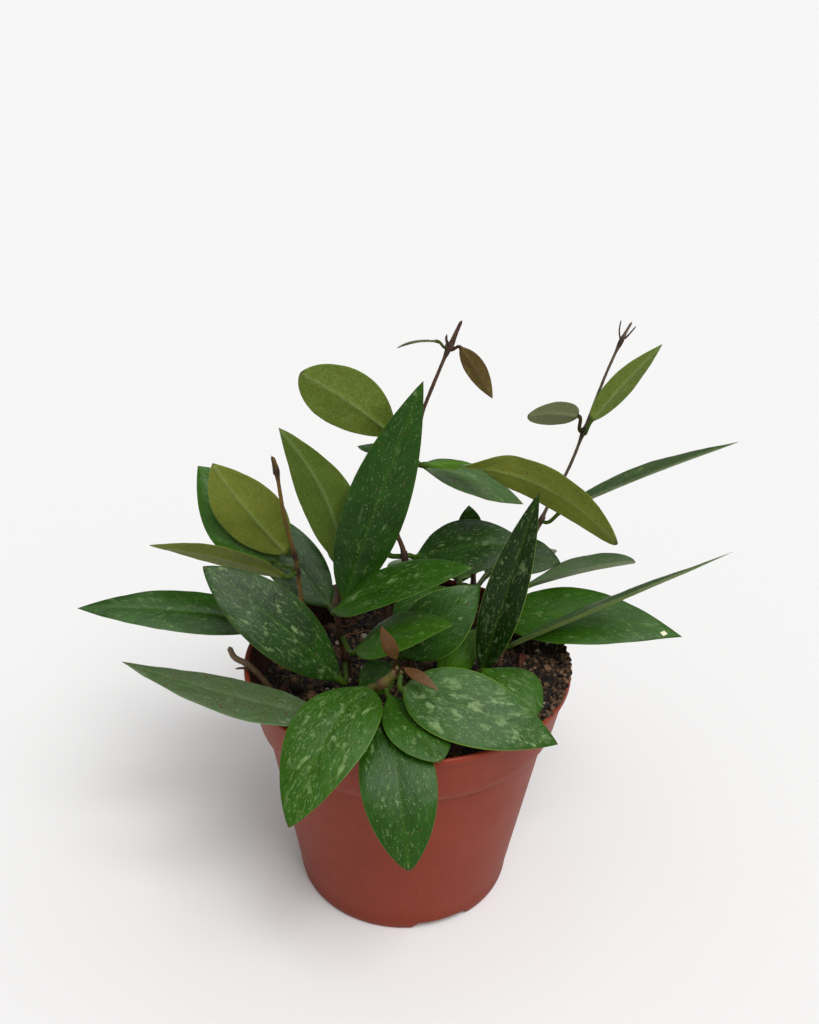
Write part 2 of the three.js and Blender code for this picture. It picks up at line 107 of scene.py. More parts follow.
class HoyaPotSettings(bpy.types.PropertyGroup):
    height: size("Height", "From the surface to the top of the rim", POT_HIGH.z / MM)
    rim_radius: size("Rim radius", "Outside of the rim", POT_HIGH.x / MM)
    lip_height: size("Lip height", "Height of the thickened lip", 2.6)
    lip_proud: size("Lip thickness", "How far the lip stands out from the collar", 0.6)
    collar_height: size("Collar height", "The straight band that pots stack by", 21)
    collar_foot_radius: size("Collar foot radius", "Outside of the collar's lower edge", 55.2)
    body_top_radius: size("Body top radius", "Outside of the body under the collar", 52.9)
    body_foot_radius: size("Body foot radius", "Outside of the body at its foot", 41)
    foot_round: size("Foot rounding", "Height of the rounded bottom edge", 6)
    foot_inset: size("Foot inset", "How far the bottom edge turns in", 1.8)
    wall: size("Wall", "Thickness of the moulded wall", 1.2)
    floor: size("Floor", "Thickness of the floor", 1.6)
    channel_height: size("Channel height", "The drain channel under the floor", 3)
    pad_radius: size("Pad radius", "The flat middle of the floor", 16)
    drain_hole_radius: size("Drain hole radius", "Each hole through the floor", 4)
    drain_hole_circle: size("Drain hole circle", "Radius of the ring of holes", 26)
    notch_width: size("Notch width", "Each gap in the foot ring, at its foot", 24)
    notch_height: size("Notch height", "Each gap in the foot ring", 3.4)
    drain_holes: IntProperty(name="Drain holes", description="Holes in the floor", default=8, min=1)
    notches: IntProperty(name="Notches", description="Gaps in the foot ring", default=3, min=1)
    plastic: colour("Plastic", "The terracotta-coloured plastic", srgb(131, 46, 22))
    scuffed: colour("Scuffed plastic", "Where it is rubbed pale", srgb(164, 92, 68))
    soiled: colour("Soiled plastic", "Where peat has stained it", srgb(84, 44, 32))


class HoyaPeatSettings(bpy.types.PropertyGroup):
    surface: size("Surface", "Mean height of the peat", 84)
    crown: size("Crown", "Rise towards the middle", 2.2)
    lean: share("Lean", "Rise for each unit of length towards the right", 0.055)
    heap: size("Heap", "Height of the heap against the wall, to the right", 9.3)
    heap_foot: size("Heap foot", "From the middle to where the heap begins", 2)
    heap_angle: angle("Heap angle", "How far behind the right-hand side the heap lies", 2)
    lump_height: size("Lump height", "Large lumps in the surface", 0.85)
    lump_length: size("Lump length", "From one large lump to the next", 21)
    wall_gap: size("Wall gap", "Kept from the inside of the pot", 0.35)
    crumb: size("Crumb", "Size of a usual crumb", 1.9)
    clod: size("Clod", "Size of a usual clod", 3.4)
    spill: amount("Spill", "Crumbs on each square millimetre of the lip beside the heap", 1.1)
    grit: size("Perlite", "Size of a usual grain of perlite", 2.2)
    chip: size("Bark chip", "Length of a usual chip of bark", 6)
    fibre: size("Fibre", "Length of a usual peat fibre", 9)
    dark: colour("Peat", "Damp peat", srgb(26, 17, 11))
    brown: colour("Dry peat", "Dry crumbs", srgb(128, 96, 68))
    perlite: colour("Perlite", "Pale grains", srgb(196, 184, 164))
    bark: colour("Bark", "Chips of bark", srgb(104, 52, 30))
    straw: colour("Fibres", "Peat fibres", srgb(150, 114, 76))


class HoyaStemSettings(bpy.types.PropertyGroup):
    joint_swell: size("Joint swelling", "Extra radius where leaves grow", 0.45)
    joint_length: size("Joint length", "Half length of that swelling", 2.6)
    bud: size("Bud", "Length of the resting buds at the joints", 1.4)
    bark: colour("Bark", "Purplish brown bark", srgb(56, 32, 20))
    bark_light: colour("Pale bark", "Dry streaks in the bark", srgb(104, 74, 48))
    green: colour("Green stem", "Young olive stem", srgb(98, 108, 42))
    olive: colour("Olive bark", "Bark of the left vine", srgb(118, 92, 30))
    grey: colour("Grey bark", "Bark of the right vine", srgb(112, 98, 80))


class HoyaLeafSettings(bpy.types.PropertyGroup):
    thickness: size("Thickness", "Half the blade's thickness at the midrib", 0.55)
    stalk_radius: size("Stalk radius", "Radius of a leaf's stalk", 1.0)
    ripple: size("Ripple", "Height of the soft dents in a blade", 0.55)
    rib: size("Rib", "Height of the midrib under a blade", 0.45)
    dark: colour("Dark green", "Upper side of old leaves", srgb(18, 42, 6))
    green: colour("Green", "Upper side of most leaves", srgb(40, 82, 12))
    fresh: colour("Fresh green", "Upper side of the brightest leaves", srgb(80, 122, 20))
    fleck: colour("Flecks", "Silvery flecks", srgb(140, 166, 108))
    # Painted reflection: the greyish sheen laid into the colour of leaves with grey.
    bloom: colour("Bloom", "Greyish bloom on some upper sides", srgb(140, 152, 122))
    under: colour("Underside", "Green underside", srgb(60, 92, 20))
    # Partly the underside's own olive, partly painted light shining through the blade.
    olive: colour("Olive", "Yellowish underside", srgb(128, 136, 50))
    bronze: colour("Bronze", "Young leaves", srgb(96, 66, 36))
    margin: colour("Margin", "Thin edge of a blade", srgb(122, 150, 58))
    scar: colour("Scar", "A healed pale scar", srgb(226, 222, 190))
    blemish: colour("Blemish", "Small dry spots", srgb(74, 46, 24))


class HoyaStageSettings(bpy.types.PropertyGroup):
    floor: colour("Floor", "Plain pale floor", (0.835, 0.83, 0.827))
    sky: amount("Sky", "Brightness of the soft light all round", 0.8)
    key: amount("Key light", "Strength of the large light, above, in front and to the right", 2.0)
    key_spread: angle("Key spread", "Apparent size of that light", 32)
    gloss: amount("Gloss light", "Strength of the light that shows only in reflections", 2.2)
    gloss_spread: angle("Gloss spread", "Apparent size of that light", 55)
    lens: FloatProperty(name="Lens", description="Focal length", default=40.85, min=1, unit="CAMERA")


# ---------------------------------------------------------------- stems and leaves

@dataclass
class Stem:
    """A stem through its points, in millimetres. Leaves grow from the points that `joints` counts to. olive
    and grey tint its bark, and each of its thin growths is its foot's radius and its points."""
    radius: float
    tip_radius: float
    joints: tuple
    points: tuple
    olive: float = 0
    grey: float = 0
    growths: tuple = ()


@dataclass
class Leaf:
    """A leaf on joint `at` of its stem, in millimetres. Its blade runs from `base` to `tip`, and its upper
    side is turned to `faces`. arch lifts the middle of the midrib, sweep bends it to the side, crest says
    how far along it is highest, widest how far along it is broadest, fullness how round its outline is, fold
    (degrees) closes its halves, and twist (degrees) turns its base about the midrib. The rest is its looks:
    flecks, tone (-1 dark to 1 fresh), grey (a painted grey reflection over the blade), pale rim, olive below
    (the underside's own olive, brightened as painted light shining through the blade), bronze all over,
    spots, and how far along it has a pale scar."""
    at: int
    base: tuple
    tip: tuple
    width: float
    faces: tuple
    arch: float = 0
    sweep: float = 0
    crest: float = 0.5
    widest: float = 0.42
    fullness: float = 1.7
    fold: float = 8
    twist: float = 0
    flecks: float = 0.5
    tone: float = 0
    grey: float = 0
    rim: float = 0.2
    scar: float = -1
    olive: float = 0.4
    bronze: float = 0
    spots: float = 0


# Each stem: its radius at the foot and at the tip, its joints, its points, its tints and its growths.
STEMS = {
    "left_vine": Stem(0.95, 0.65, (2, 3, 4, 6), (
        (-39, 18, 66), (-39, 18, 84), (-40, 19, 99), (-42, 20, 119), (-43, 20, 126), (-46, 18, 143),
        (-48, 16, 162), (-49, 15, 168),
    ), olive=0.85, growths=(
        (0.8, ((-48.4, 15.8, 161), (-48.8, 15.2, 165), (-49.4, 15, 168.4))),
    )),
    "middle_stem": Stem(1.3, 1.1, (2, 3, 4, 5), (
        (-21, 3, 66), (-22, 2, 84), (-23, 2, 92), (-25, 1, 104), (-26, -1, 117), (-25, 1, 125),
    )),
    "centre_vine": Stem(1.1, 0.5, (2, 4, 5, 6), (
        (6, 18, 66), (5, 18, 84), (-2, 18, 127), (-5, 18, 140), (0, 15, 167), (2, 14, 183),
        (11, 12, 210), (15, 12, 220),
    ), growths=(
        (0.75, ((12.2, 12, 211.5), (13.6, 12, 216), (15.2, 11.6, 220.2))),
        (0.6, ((11.4, 12, 210.6), (10.2, 11.8, 213.4), (10.4, 11.6, 215.4))),
    )),
    "right_vine": Stem(0.8, 0.4, (2, 3, 4, 6, 8), (
        (28, 4, 66), (29, 5, 84), (31, 7, 99), (38, 15, 113), (48, 25, 140), (56, 24, 161),
        (60, 22, 177), (65, 20, 198), (69, 18, 212), (72, 18, 219),
    ), grey=0.7, growths=(
        (0.35, ((69.0, 18, 212), (68.1, 18, 215.4), (68.2, 17.6, 219.8))),
        (0.35, ((70.2, 18, 213), (72.2, 18, 215.6), (73.6, 18.2, 217.6))),
    )),
    "inner_stem": Stem(1.2, 1, (2, 3), (
        (2, -4, 66), (2, -5, 84), (1, -7, 94), (0, -8, 103),
    )),
    "front_shoot": Stem(1.8, 1.5, (2, 3, 4, 5), (
        (-17, -20, 66), (-16, -22, 84), (-14, -25, 92), (-12, -28, 100), (-8, -32, 106), (-3, -34, 113),
    ), olive=0.5),
    "side_stem": Stem(1.3, 1.1, (2,), (
        (21, -12, 66), (22, -13, 84), (24, -12, 92),
    )),
    "back_stem": Stem(1.3, 1, (2, 3), (
        (-8, 34, 66), (-8, 34, 84), (-9, 36, 96), (-12, 38, 107),
    )),
    "right_back_stem": Stem(1.3, 1, (2, 3), (
        (24, 34, 66), (25, 34, 84), (25, 34, 104), (24, 35, 122),
    )),
    "cut_stem": Stem(1.4, 1, (), (
        (-46, -9, 70), (-49, -10, 84), (-52, -11, 91), (-57, -11, 97.5), (-62, -10, 100), (-64, -9, 104),
    ), olive=0.3, grey=0.4, growths=(
        (0.6, ((-54.6, -10.6, 95.2), (-58.6, -13, 97.6), (-61.6, -13.4, 97.4))),
    )),
}

# Each stem's leaves, in the order of their numbers: joint, base, tip, width, where it faces, the rest.
# In a leaf's looks, grey is a painted grey reflection, and olive is partly painted light through the blade.
LEAVES = {
    "left_vine": (
        Leaf(2, (-50, 8, 103), (-118, -5, 116), 20, (0, -0.35, 1), arch=3, flecks=0.45, tone=-0.15),
        Leaf(3, (-51, 27, 119), (-81, 42, 151), 28, (0.3, -0.9, 0.4), arch=2, flecks=0.12, tone=0.15),
        Leaf(4, (-46, 24, 124), (-71, 19, 163), 25, (-0.1, 1, 0.2),
             arch=2, sweep=2, widest=0.45, flecks=0.3, olive=1.0),
        Leaf(3, (-46, 14, 120), (-94, 10, 134), 18, (0.1, 1.3, 1), arch=2, flecks=0.1, olive=1.0),
    ),
    "middle_stem": (
        Leaf(4, (-30.5, 21.5, 103), (-66, 54, 129), 22, (0.3, -0.8, 0.6), arch=2, flecks=0.45, tone=-0.3),
        Leaf(4, (-23, -3, 121), (3, 6, 201), 22, (0.1, -1, 0.3), arch=3, sweep=-1, flecks=0.32, tone=-0.35),
        Leaf(5, (-23, 7, 128), (-44, -6, 188), 21, (0.2, 1, 0), arch=2, sweep=-4, flecks=0.25, olive=0.3),
        Leaf(4, (-26, -8, 119), (21, -25, 148), 20, (-0.1, -0.3, 1), arch=4, flecks=0.5),
        Leaf(3, (-18, -13, 106), (15, -27, 127), 20, (0, -0.3, 1), arch=3, flecks=0.45, tone=0.2),
        Leaf(2, (-24, -14, 94), (-72, -6, 135), 24, (0.1, -0.75, 1),
             arch=5, widest=0.5, flecks=0.6, tone=-0.5),
    ),
    "centre_vine": (
        Leaf(5, (-7, 13, 178), (-37, 0, 205), 22, (0.2, 1, -0.2),
             arch=1, sweep=-1, widest=0.55, fullness=1.4, flecks=0.7, olive=0.5),
        Leaf(4, (4, 13, 167), (67, -25, 158), 20, (0.2, 1, 0.4),
             arch=10, sweep=2, crest=0.5, widest=0.62, twist=100, flecks=0.1, tone=0.8, olive=1.0,
             spots=0.4),
        Leaf(4, (4, 19, 164), (41, 24, 147), 17, (0, -0.3, 1), arch=2, flecks=0.55, grey=0.22),
        Leaf(4, (-3, 18, 168), (-20, 30, 166), 12, (0, 0, 1), arch=1, flecks=0.2),
        Leaf(6, (7, 11, 213), (-6, 6, 212), 7, (0, 0.3, 1), arch=1, flecks=0.0, olive=0.6, bronze=0.35),
        Leaf(6, (15, 11, 211), (26, 4, 196), 8, (0.2, 1, 0.3), arch=1, flecks=0.3, bronze=0.85),
        Leaf(2, (3, 22, 125), (44, 20, 132), 24, (0, -0.6, 1), arch=4, flecks=0.5, tone=-0.5),
        Leaf(2, (-9, 23, 126), (-38, 52, 130), 22, (0, 0, 1), arch=3, flecks=0.4, tone=-0.7),
    ),
    "right_vine": (
        Leaf(2, (34, 14, 105), (99, -2, 108), 25, (0, -0.5, 1),
             arch=6, widest=0.38, flecks=0.3, tone=0.05, scar=0.9),
        Leaf(2, (37, -3, 103), (110, -9, 147.5), 12, (-0.47, 0.38, 0.79),
             widest=0.33, fullness=2.1, fold=25, flecks=0.2, tone=-0.2, grey=0.2),
        Leaf(3, (44, 18, 116), (84, 22, 125), 20, (-0.24, 0.26, 0.94),
             arch=1, widest=0.62, fullness=1.45, fold=28, flecks=0.25, tone=-0.1, grey=0.3),
        Leaf(4, (56, 21, 147), (112, 12, 179), 14, (-0.47, 0.16, 0.87),
             arch=1, widest=0.38, fullness=1.9, fold=26, flecks=0.5, tone=-0.2, grey=0.2),
        Leaf(6, (57, 20, 184), (39, 12, 187), 12, (0, 1, 0.4),
             arch=1, fullness=0.95, flecks=0.4, olive=0.8, bronze=0.55, grey=0.55),
        Leaf(6, (62, 19, 183), (83, 18, 211.5), 12.5, (-0.45, 1, 0.2),
             arch=1, widest=0.38, fullness=1.65, flecks=0.1, olive=0.5, tone=0.4),
    ),
    "inner_stem": (
        Leaf(3, (-2, -15, 106), (25, -4, 129), 22, (0.3, -0.7, 0.8),
             arch=3, flecks=0.45, tone=-0.1, rim=0.7),
        Leaf(3, (-5, 3, 108), (14, 14, 117), 16, (0, -0.2, 1), arch=2, flecks=0.4, rim=0.6),
        Leaf(2, (-6, -12, 100), (-17, -18, 91), 13, (0, -0.8, 0.6), arch=1, flecks=0.3),
        Leaf(2, (12, -8, 93), (25, 3, 106), 14, (0.4, -0.7, 0.6), arch=2, flecks=0.45, tone=0.5),
    ),
    "front_shoot": (
        Leaf(3, (-13, -32, 103), (-36, -79, 84), 29, (-0.3, -0.6, 0.8),
             arch=9, crest=0.45, fullness=1.5, flecks=0.8, tone=0.1),
        Leaf(3, (-7, -37, 95), (2, -82, 70), 25, (0, -0.5, 1),
             arch=13, crest=0.42, widest=0.52, fullness=1.6, flecks=0.4, tone=-0.1),
        Leaf(5, (-1.2, -40, 109.5), (50, -50.5, 96.5), 26, (0.1, -0.7, 1),
             arch=4, widest=0.38, fullness=1.55, flecks=0.9, tone=0.0, rim=0.6),
        Leaf(4, (-6, -35, 102.5), (11, -63, 98.2), 21, (0.3, -0.4, 1),
             arch=1, widest=0.55, fullness=1.6, flecks=0.45, tone=0.05),
        Leaf(2, (-28.5, -37.5, 95.5), (-96, -33, 113), 21, (0, 0, 1),
             arch=-2, widest=0.36, flecks=0.2, tone=-0.3, grey=0.25, spots=1.0),
        Leaf(5, (-4, -36, 119), (-9, -38, 133), 5, (0, -1, 0.4), arch=1, flecks=0.0, bronze=1.0),
        Leaf(5, (-1, -39.2, 117.4), (10, -49, 116), 4, (0, -0.6, 1), arch=1, flecks=0.0, bronze=1.0),
    ),
    "side_stem": (
        Leaf(2, (27, -10, 97), (43, -4, 166), 16, (-0.3, -1, 0.2),
             arch=2, fold=25, flecks=0.5, tone=-0.9, rim=0.8),
        Leaf(2, (27, -15, 100), (45, -35, 93), 25, (0.2, -0.3, 1),
             arch=3, widest=0.46, flecks=0.65, tone=0.1),
    ),
    "back_stem": (
        Leaf(3, (-20, 45, 101), (-29, 87, 96), 21, (0, 0.3, 1), arch=4, flecks=0.5),
        Leaf(3, (-3, 47, 99), (13, 85, 83), 25, (0, 0.5, 1), arch=6, flecks=0.6, tone=0.2),
        Leaf(2, (-20, 34, 96), (-61, 37, 101), 18, (0, 0, 1), arch=2, flecks=0.4),
    ),
    "right_back_stem": (
        Leaf(3, (33, 34, 119), (57, 27, 121), 20, (0, -0.4, 1), arch=2, flecks=0.4, tone=-0.5),
        Leaf(3, (23, 39, 126), (22, 40, 138), 9, (0, -1, 0.3), arch=1, flecks=0.1, tone=-0.6),
        Leaf(2, (31, 43, 106), (62, 74, 100), 24, (0, 0.3, 1), arch=4, flecks=0.5),
        Leaf(2, (20, 44, 102), (23, 84, 95), 24, (0, 0.4, 1), arch=5, flecks=0.4, tone=0.2),
    ),
}


# ---------------------------------------------------------------- writing formulas as nodes

def worked_out(operation, swapped=False):
    """A method of Field that combines it with another value."""
    def method(self, other):
        first, second = (other, self) if swapped else (self, other)
        return self.graph.combine(operation, first, second)
    return method


class Field:
    """A number or a vector in a node tree. Sums and products of fields add the nodes that work them out."""

    def __init__(self, graph, socket):
        self.graph = graph
        self.socket = socket

    __add__, __radd__ = worked_out("ADD"), worked_out("ADD", swapped=True)
    __sub__, __rsub__ = worked_out("SUBTRACT"), worked_out("SUBTRACT", swapped=True)
    __mul__, __rmul__ = worked_out("MULTIPLY"), worked_out("MULTIPLY", swapped=True)
    __truediv__, __rtruediv__ = worked_out("DIVIDE"), worked_out("DIVIDE", swapped=True)
    __pow__, __rpow__ = worked_out("POWER"), worked_out("POWER", swapped=True)


def is_vector(value):
    if isinstance(value, Field):
        return value.socket.type in ("VECTOR", "RGBA")
    return isinstance(value, (tuple, Vector))


def enabled(sockets, name):
    """The socket of that name that the node's settings leave in use."""
    for socket in sockets:
        if socket.enabled and name in (socket.name, socket.identifier):
            return socket
    raise KeyError(f"no socket {name}")


class Graph:
    """Adds nodes to one tree, so that a shape or a pattern can be written as its formula."""

    def __init__(self, tree):
        self.tree = tree

    def feed(self, socket, value):
        if isinstance(value, Field):
            self.tree.links.new(value.socket, socket)
        elif value is not None:
            opaque = socket.type == "RGBA" and len(value) == 3
            socket.default_value = (*value, 1) if opaque else value

    def add(self, kind, inputs=(), output=None, **settings):
        """A node with these settings and inputs. Returns its first output, or the one named."""
        node = self.tree.nodes.new(kind)
        for name, value in settings.items():
            setattr(node, name, value)
        for name, value in dict(inputs).items():
            for each in value if isinstance(value, list) else [value]:
                self.feed(enabled(node.inputs, name), each)
        socket = enabled(node.outputs, output) if output else next(s for s in node.outputs if s.enabled)
        return Field(self, socket)

    def number(self, operation, *values, kind="ShaderNodeMath"):
        node = self.tree.nodes.new(kind)
        node.operation = operation
        for socket, value in zip(node.inputs, values):
            self.feed(socket, value)
        return Field(self, next(s for s in node.outputs if s.enabled))

    def vector(self, operation, *values):
        return self.number(operation, *values, kind="ShaderNodeVectorMath")

    def combine(self, operation, a, b):
        if not is_vector(a) and not is_vector(b):
            return self.number(operation, a, b)
        if operation in ("MULTIPLY", "DIVIDE") and not (is_vector(a) and is_vector(b)):
            whole, factor = (a, b) if is_vector(a) else (b, a)
            factor = factor if operation == "MULTIPLY" else 1 / factor
            return self.add("ShaderNodeVectorMath", {"Vector": whole, "Scale": factor}, operation="SCALE")
        return self.vector(operation, a, b)

    def absolute(self, a):
        return self.number("ABSOLUTE", a)

    def bell(self, a):
        """1 where a is 0, falling away smoothly to both sides."""
        return self.number("EXPONENT", a * a * -1)

    def sine(self, a):
        return self.number("SINE", a)

    def cosine(self, a):
        return self.number("COSINE", a)

    def root(self, a):
        return self.number("SQRT", a)

    def least(self, a, b):
        return self.number("MINIMUM", a, b)

    def most(self, a, b):
        return self.number("MAXIMUM", a, b)

    def clamp(self, a):
        return self.most(self.least(a, 1), 0)

    def smooth(self, a, low, high):
        """0 below low and 1 above high, with a soft step between them."""
        return self.add(
            "ShaderNodeMapRange", {"Value": a, "From Min": low, "From Max": high},
            interpolation_type="SMOOTHSTEP",
        )

    def blend(self, a, b, factor):
        return a + (b - a) * factor

    def unit(self, a):
        return self.vector("NORMALIZE", a)

    def dot(self, a, b):
        return self.vector("DOT_PRODUCT", a, b)

    def cross(self, a, b):
        return self.vector("CROSS_PRODUCT", a, b)

    def xyz(self, x, y, z):
        return self.add("ShaderNodeCombineXYZ", {"X": x, "Y": y, "Z": z})

    def split(self, a):
        node = self.tree.nodes.new("ShaderNodeSeparateXYZ")
        self.feed(node.inputs[0], a)
        return [Field(self, socket) for socket in node.outputs]

    def noise(self, at, detail=2.0, roughness=0.5):
        return self.add(
            "ShaderNodeTexNoise", {"Vector": at, "Scale": 1.0, "Detail": detail, "Roughness": roughness},
            "Fac",
        )

    def mix(self, a, b, factor):
        """From colour a to colour b."""
        return self.add("ShaderNodeMix", {"Factor": factor, "A": a, "B": b}, data_type="RGBA")

    # Only in geometry trees.

    def position(self):
        return self.add("GeometryNodeInputPosition")

    def attribute(self, name, kind="FLOAT_VECTOR"):
        return self.add("GeometryNodeInputNamedAttribute", {"Name": name}, "Attribute", data_type=kind)

    def sample(self, mesh, value, index, kind="FLOAT_VECTOR"):
        """A value at one point of a mesh."""
        return self.add(
            "GeometryNodeSampleIndex", {"Geometry": mesh, "Value": value, "Index": index}, data_type=kind,
        )

    def store(self, geometry, name, value, domain="POINT"):
        return self.add(
            "GeometryNodeStoreNamedAttribute", {"Geometry": geometry, "Name": name, "Value": value},
            data_type="FLOAT_VECTOR", domain=domain,
        )

    def random(self, low, high, seed, kind="FLOAT"):
        return self.add("FunctionNodeRandomValue", {"Min": low, "Max": high, "Seed": seed}, data_type=kind)

    def place(self, geometry, position):
        return self.add("GeometryNodeSetPosition", {"Geometry": geometry, "Position": position})

    def swell(self, geometry, height):
        """Moves a surface out along its normals."""
        normal = self.add("GeometryNodeInputNormal", (), "Normal")
        return self.add("GeometryNodeSetPosition", {"Geometry": geometry, "Offset": normal * height})

    def weld(self, geometry, distance):
        return self.add("GeometryNodeMergeByDistance", {"Geometry": geometry, "Distance": distance})

    def ring(self, sides, radius):
        return self.add("GeometryNodeCurvePrimitiveCircle", {"Resolution": sides, "Radius": radius})

    def tube(self, line, ring, scale=None):
        return self.add(
            "GeometryNodeCurveToMesh",
            {"Curve": line, "Profile Curve": ring, "Scale": scale, "Fill Caps": True},
        )

    def grid(self, columns, rows):
        """A grid of one unit each way. Returns it and the two shares along it, from 0 to 1."""
        mesh = self.add(
            "GeometryNodeMeshGrid",
            {"Size X": 1.0, "Size Y": 1.0, "Vertices X": columns + 1, "Vertices Y": rows + 1}, "Mesh",
        )
        x, y, _ = self.split(self.position())
        return mesh, x + 0.5, y + 0.5

    def close(self, geometry, material):
        """Ends the tree: real geometry with its material."""
        whole = self.add("GeometryNodeRealizeInstances", {"Geometry": geometry})
        painted = self.add("GeometryNodeSetMaterial", {"Geometry": whole, "Material": material})
        self.feed(self.tree.nodes.new("NodeGroupOutput").inputs[0], painted)
        return self.tree


SOCKETS = {
    "shape": "NodeSocketGeometry", "number": "NodeSocketFloat", "vector": "NodeSocketVector",
    "material": "NodeSocketMaterial",
}


def new_tree(name, kind, inputs, outputs):
    """A node tree with named inputs and outputs: each kind of socket with its names. Returns its graph and
    its inputs by name."""
    tree = bpy.data.node_groups.new(name, kind)
    for side, sockets in (("INPUT", inputs), ("OUTPUT", outputs)):
        for socket_kind, names in sockets.items():
            for each in names:
                tree.interface.new_socket(each, in_out=side, socket_type=SOCKETS[socket_kind])
    graph = Graph(tree)
    entrance = tree.nodes.new("NodeGroupInput")
    return graph, {socket.name: Field(graph, socket) for socket in entrance.outputs if socket.name}


def geometry_tree(name, numbers, vectors=()):
    """A Geometry Nodes tree that takes a source mesh, these numbers and vectors, and a material."""
    graph, of = new_tree(
        name, "GeometryNodeTree",
        {"shape": ("Geometry",), "number": numbers, "vector": vectors, "material": ("Material",)},
        {"shape": ("Geometry",)},
    )
    graph.tree.is_modifier = True
    return graph, of


def grown(name, tree, settings=None, source=None, **values):
    """The plain mesh object that a tree makes, from a source mesh where it needs one. Each input takes the
    value of its name, such as lump_height for "Lump height", or else the setting of that name."""
    piece = bpy.data.objects.new(name, source or bpy.data.meshes.new(name))
    bpy.context.scene.collection.objects.link(piece)
    modifier = piece.modifiers.new("Shape", "NODES")
    modifier.node_group = tree
    for socket in tree.interface.items_tree:
        key = socket.name.lower().replace(" ", "_")
        if socket.in_out == "INPUT" and key != "geometry":
            value = values[key] if key in values else getattr(settings, key)
            modifier[socket.identifier] = float(value) if isinstance(value, int) else value
    depsgraph = bpy.context.evaluated_depsgraph_get()
    mesh = bpy.data.meshes.new_from_object(
        piece.evaluated_get(depsgraph), preserve_all_data_layers=True, depsgraph=depsgraph,
    )
    piece.modifiers.remove(modifier)
    piece.data = mesh
    mesh.name = name
    return piece


def turn_faces_out(mesh):
    """Turns a closed mesh the right way out."""
    shell = bmesh.new()
    shell.from_mesh(mesh)
    if shell.calc_volume(signed=True) < 0:
        bmesh.ops.reverse_faces(shell, faces=shell.faces)
        shell.to_mesh(mesh)
    shell.free()


def hand_over(piece, node=None, sharp=None):
    """Smooths a piece and hands it to the frame, in place of a node where it stands for one. Edges past
    `sharp` stay hard."""
    if node:
        turn_faces_out(piece.data)
    piece.data.shade_smooth()
    if sharp:
        piece.data.set_sharp_from_angle(angle=sharp)
    if node:
        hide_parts(node)
    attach(piece, ROOT)


def chain_mesh(name, chains, **attributes):
    """A mesh of open chains of points, with a number for each point in each named attribute."""
    points = [point for chain in chains for point in chain]
    ends = {sum(map(len, chains[:i + 1])) - 1 for i in range(len(chains))}
    mesh = bpy.data.meshes.new(name)
    mesh.from_pydata(points, [(i, i + 1) for i in range(len(points)) if i not in ends], [])
    for each, values in attributes.items():
        mesh.attributes.new(each, "FLOAT", "POINT").data.foreach_set("value", values)
    return mesh


def even(start, end, steps):
    """Evenly spaced numbers from start to end, both included."""
    return [start + (end - start) * i / steps for i in range(steps + 1)]


def arc(centre_x, centre_z, radius, start, end, steps):
    """Points of a round stretch of a profile, between two angles in degrees."""
    return [
        (centre_x + radius * math.cos(a), centre_z + radius * math.sin(a))
        for a in even(math.radians(start), math.radians(end), steps)
    ]


def turned(graph, source, stations, sides):
    """A grid whose columns follow the source chain and whose rows go round Z. Returns the grid, and for each
    place the index of its point of the chain, its x and y once turned, and that point's height."""
    grid, along, round_z = graph.grid(stations - 1, sides)
    index = graph.number("ROUND", along * (stations - 1))
    radius, _, height = graph.split(graph.sample(source, graph.position(), index))
    angle = round_z * (2 * math.pi)
    return grid, index, radius * graph.cosine(angle), radius * graph.sine(angle), height


# ---------------------------------------------------------------- materials

_effects = {}


def patches_effect():
    """Soft patches of a given size, shared by all the materials and built once: a mask from 0 to 1 that
    covers `Share` of the surface, and the height of the noise behind it."""
    if "patches" not in _effects:
        graph, of = new_tree(
            "Patches", "ShaderNodeTree",
            {"vector": ("Vector",), "number": ("Size", "Share", "Softness")},
            {"number": ("Mask", "Height")},
        )
        noise = graph.noise(of["Vector"] / of["Size"], 4.0, 0.55)
        middle = 0.66 - 0.32 * of["Share"]
        ending = graph.tree.nodes.new("NodeGroupOutput")
        mask = graph.smooth(noise, middle - of["Softness"], middle + of["Softness"])
        graph.feed(ending.inputs["Mask"], mask)
        graph.feed(ending.inputs["Height"], noise)
        _effects["patches"] = graph.tree
    return _effects["patches"]


class Finish:
    """A material being written: its graph, the colour so far, and the shader that its results feed."""

    def __init__(self, name):
        self.material = bpy.data.materials.new(name)
        self.material.use_nodes = True
        tree = self.material.node_tree
        tree.nodes.clear()
        self.graph = Graph(tree)
        self.colour = None
        self.shader = tree.nodes.new("ShaderNodeBsdfPrincipled")
        output = tree.nodes.new("ShaderNodeOutputMaterial")
        tree.links.new(self.shader.outputs["BSDF"], output.inputs["Surface"])

    def millimetres(self):
        """The place on the object, in millimetres."""
        return self.graph.add("ShaderNodeTexCoord", (), "Object") * 1000

    def stored(self, name):
        """The three numbers of a vector that the mesh stores."""
        return self.graph.split(self.graph.add("ShaderNodeAttribute", (), "Vector", attribute_name=name))

    def patches(self, place, span, covered, softness=0.08, output="Mask"):
        """Patches about `span` across that cover that share of the surface."""
        inputs = {"Vector": place, "Size": span, "Share": covered, "Softness": softness}
        return self.graph.add("ShaderNodeGroup", inputs, output, node_tree=patches_effect())

    def height(self, place, span):
        """Even noise about `span` across, for bumps."""
        return self.patches(place, span, 0.5, 0.3, "Height")

    def cover(self, colour, amount):
        """Lays a colour over the colour so far."""
        self.colour = self.graph.mix(self.colour, colour, amount)

    def finish(self, roughness, height, depth, specular):
        """Feeds the shader. The height is in units of `depth`, in millimetres."""
        bump = self.graph.add(
            "ShaderNodeBump", {"Height": height, "Distance": depth * MM, "Strength": 1.0}, "Normal",
        )
        for name, value in (("Base Color", self.colour), ("Roughness", roughness), ("Normal", bump)):
            self.graph.feed(self.shader.inputs[name], value)
        self.shader.inputs["Specular IOR Level"].default_value = specular
        return self.material


# ---------------------------------------------------------------- the pot

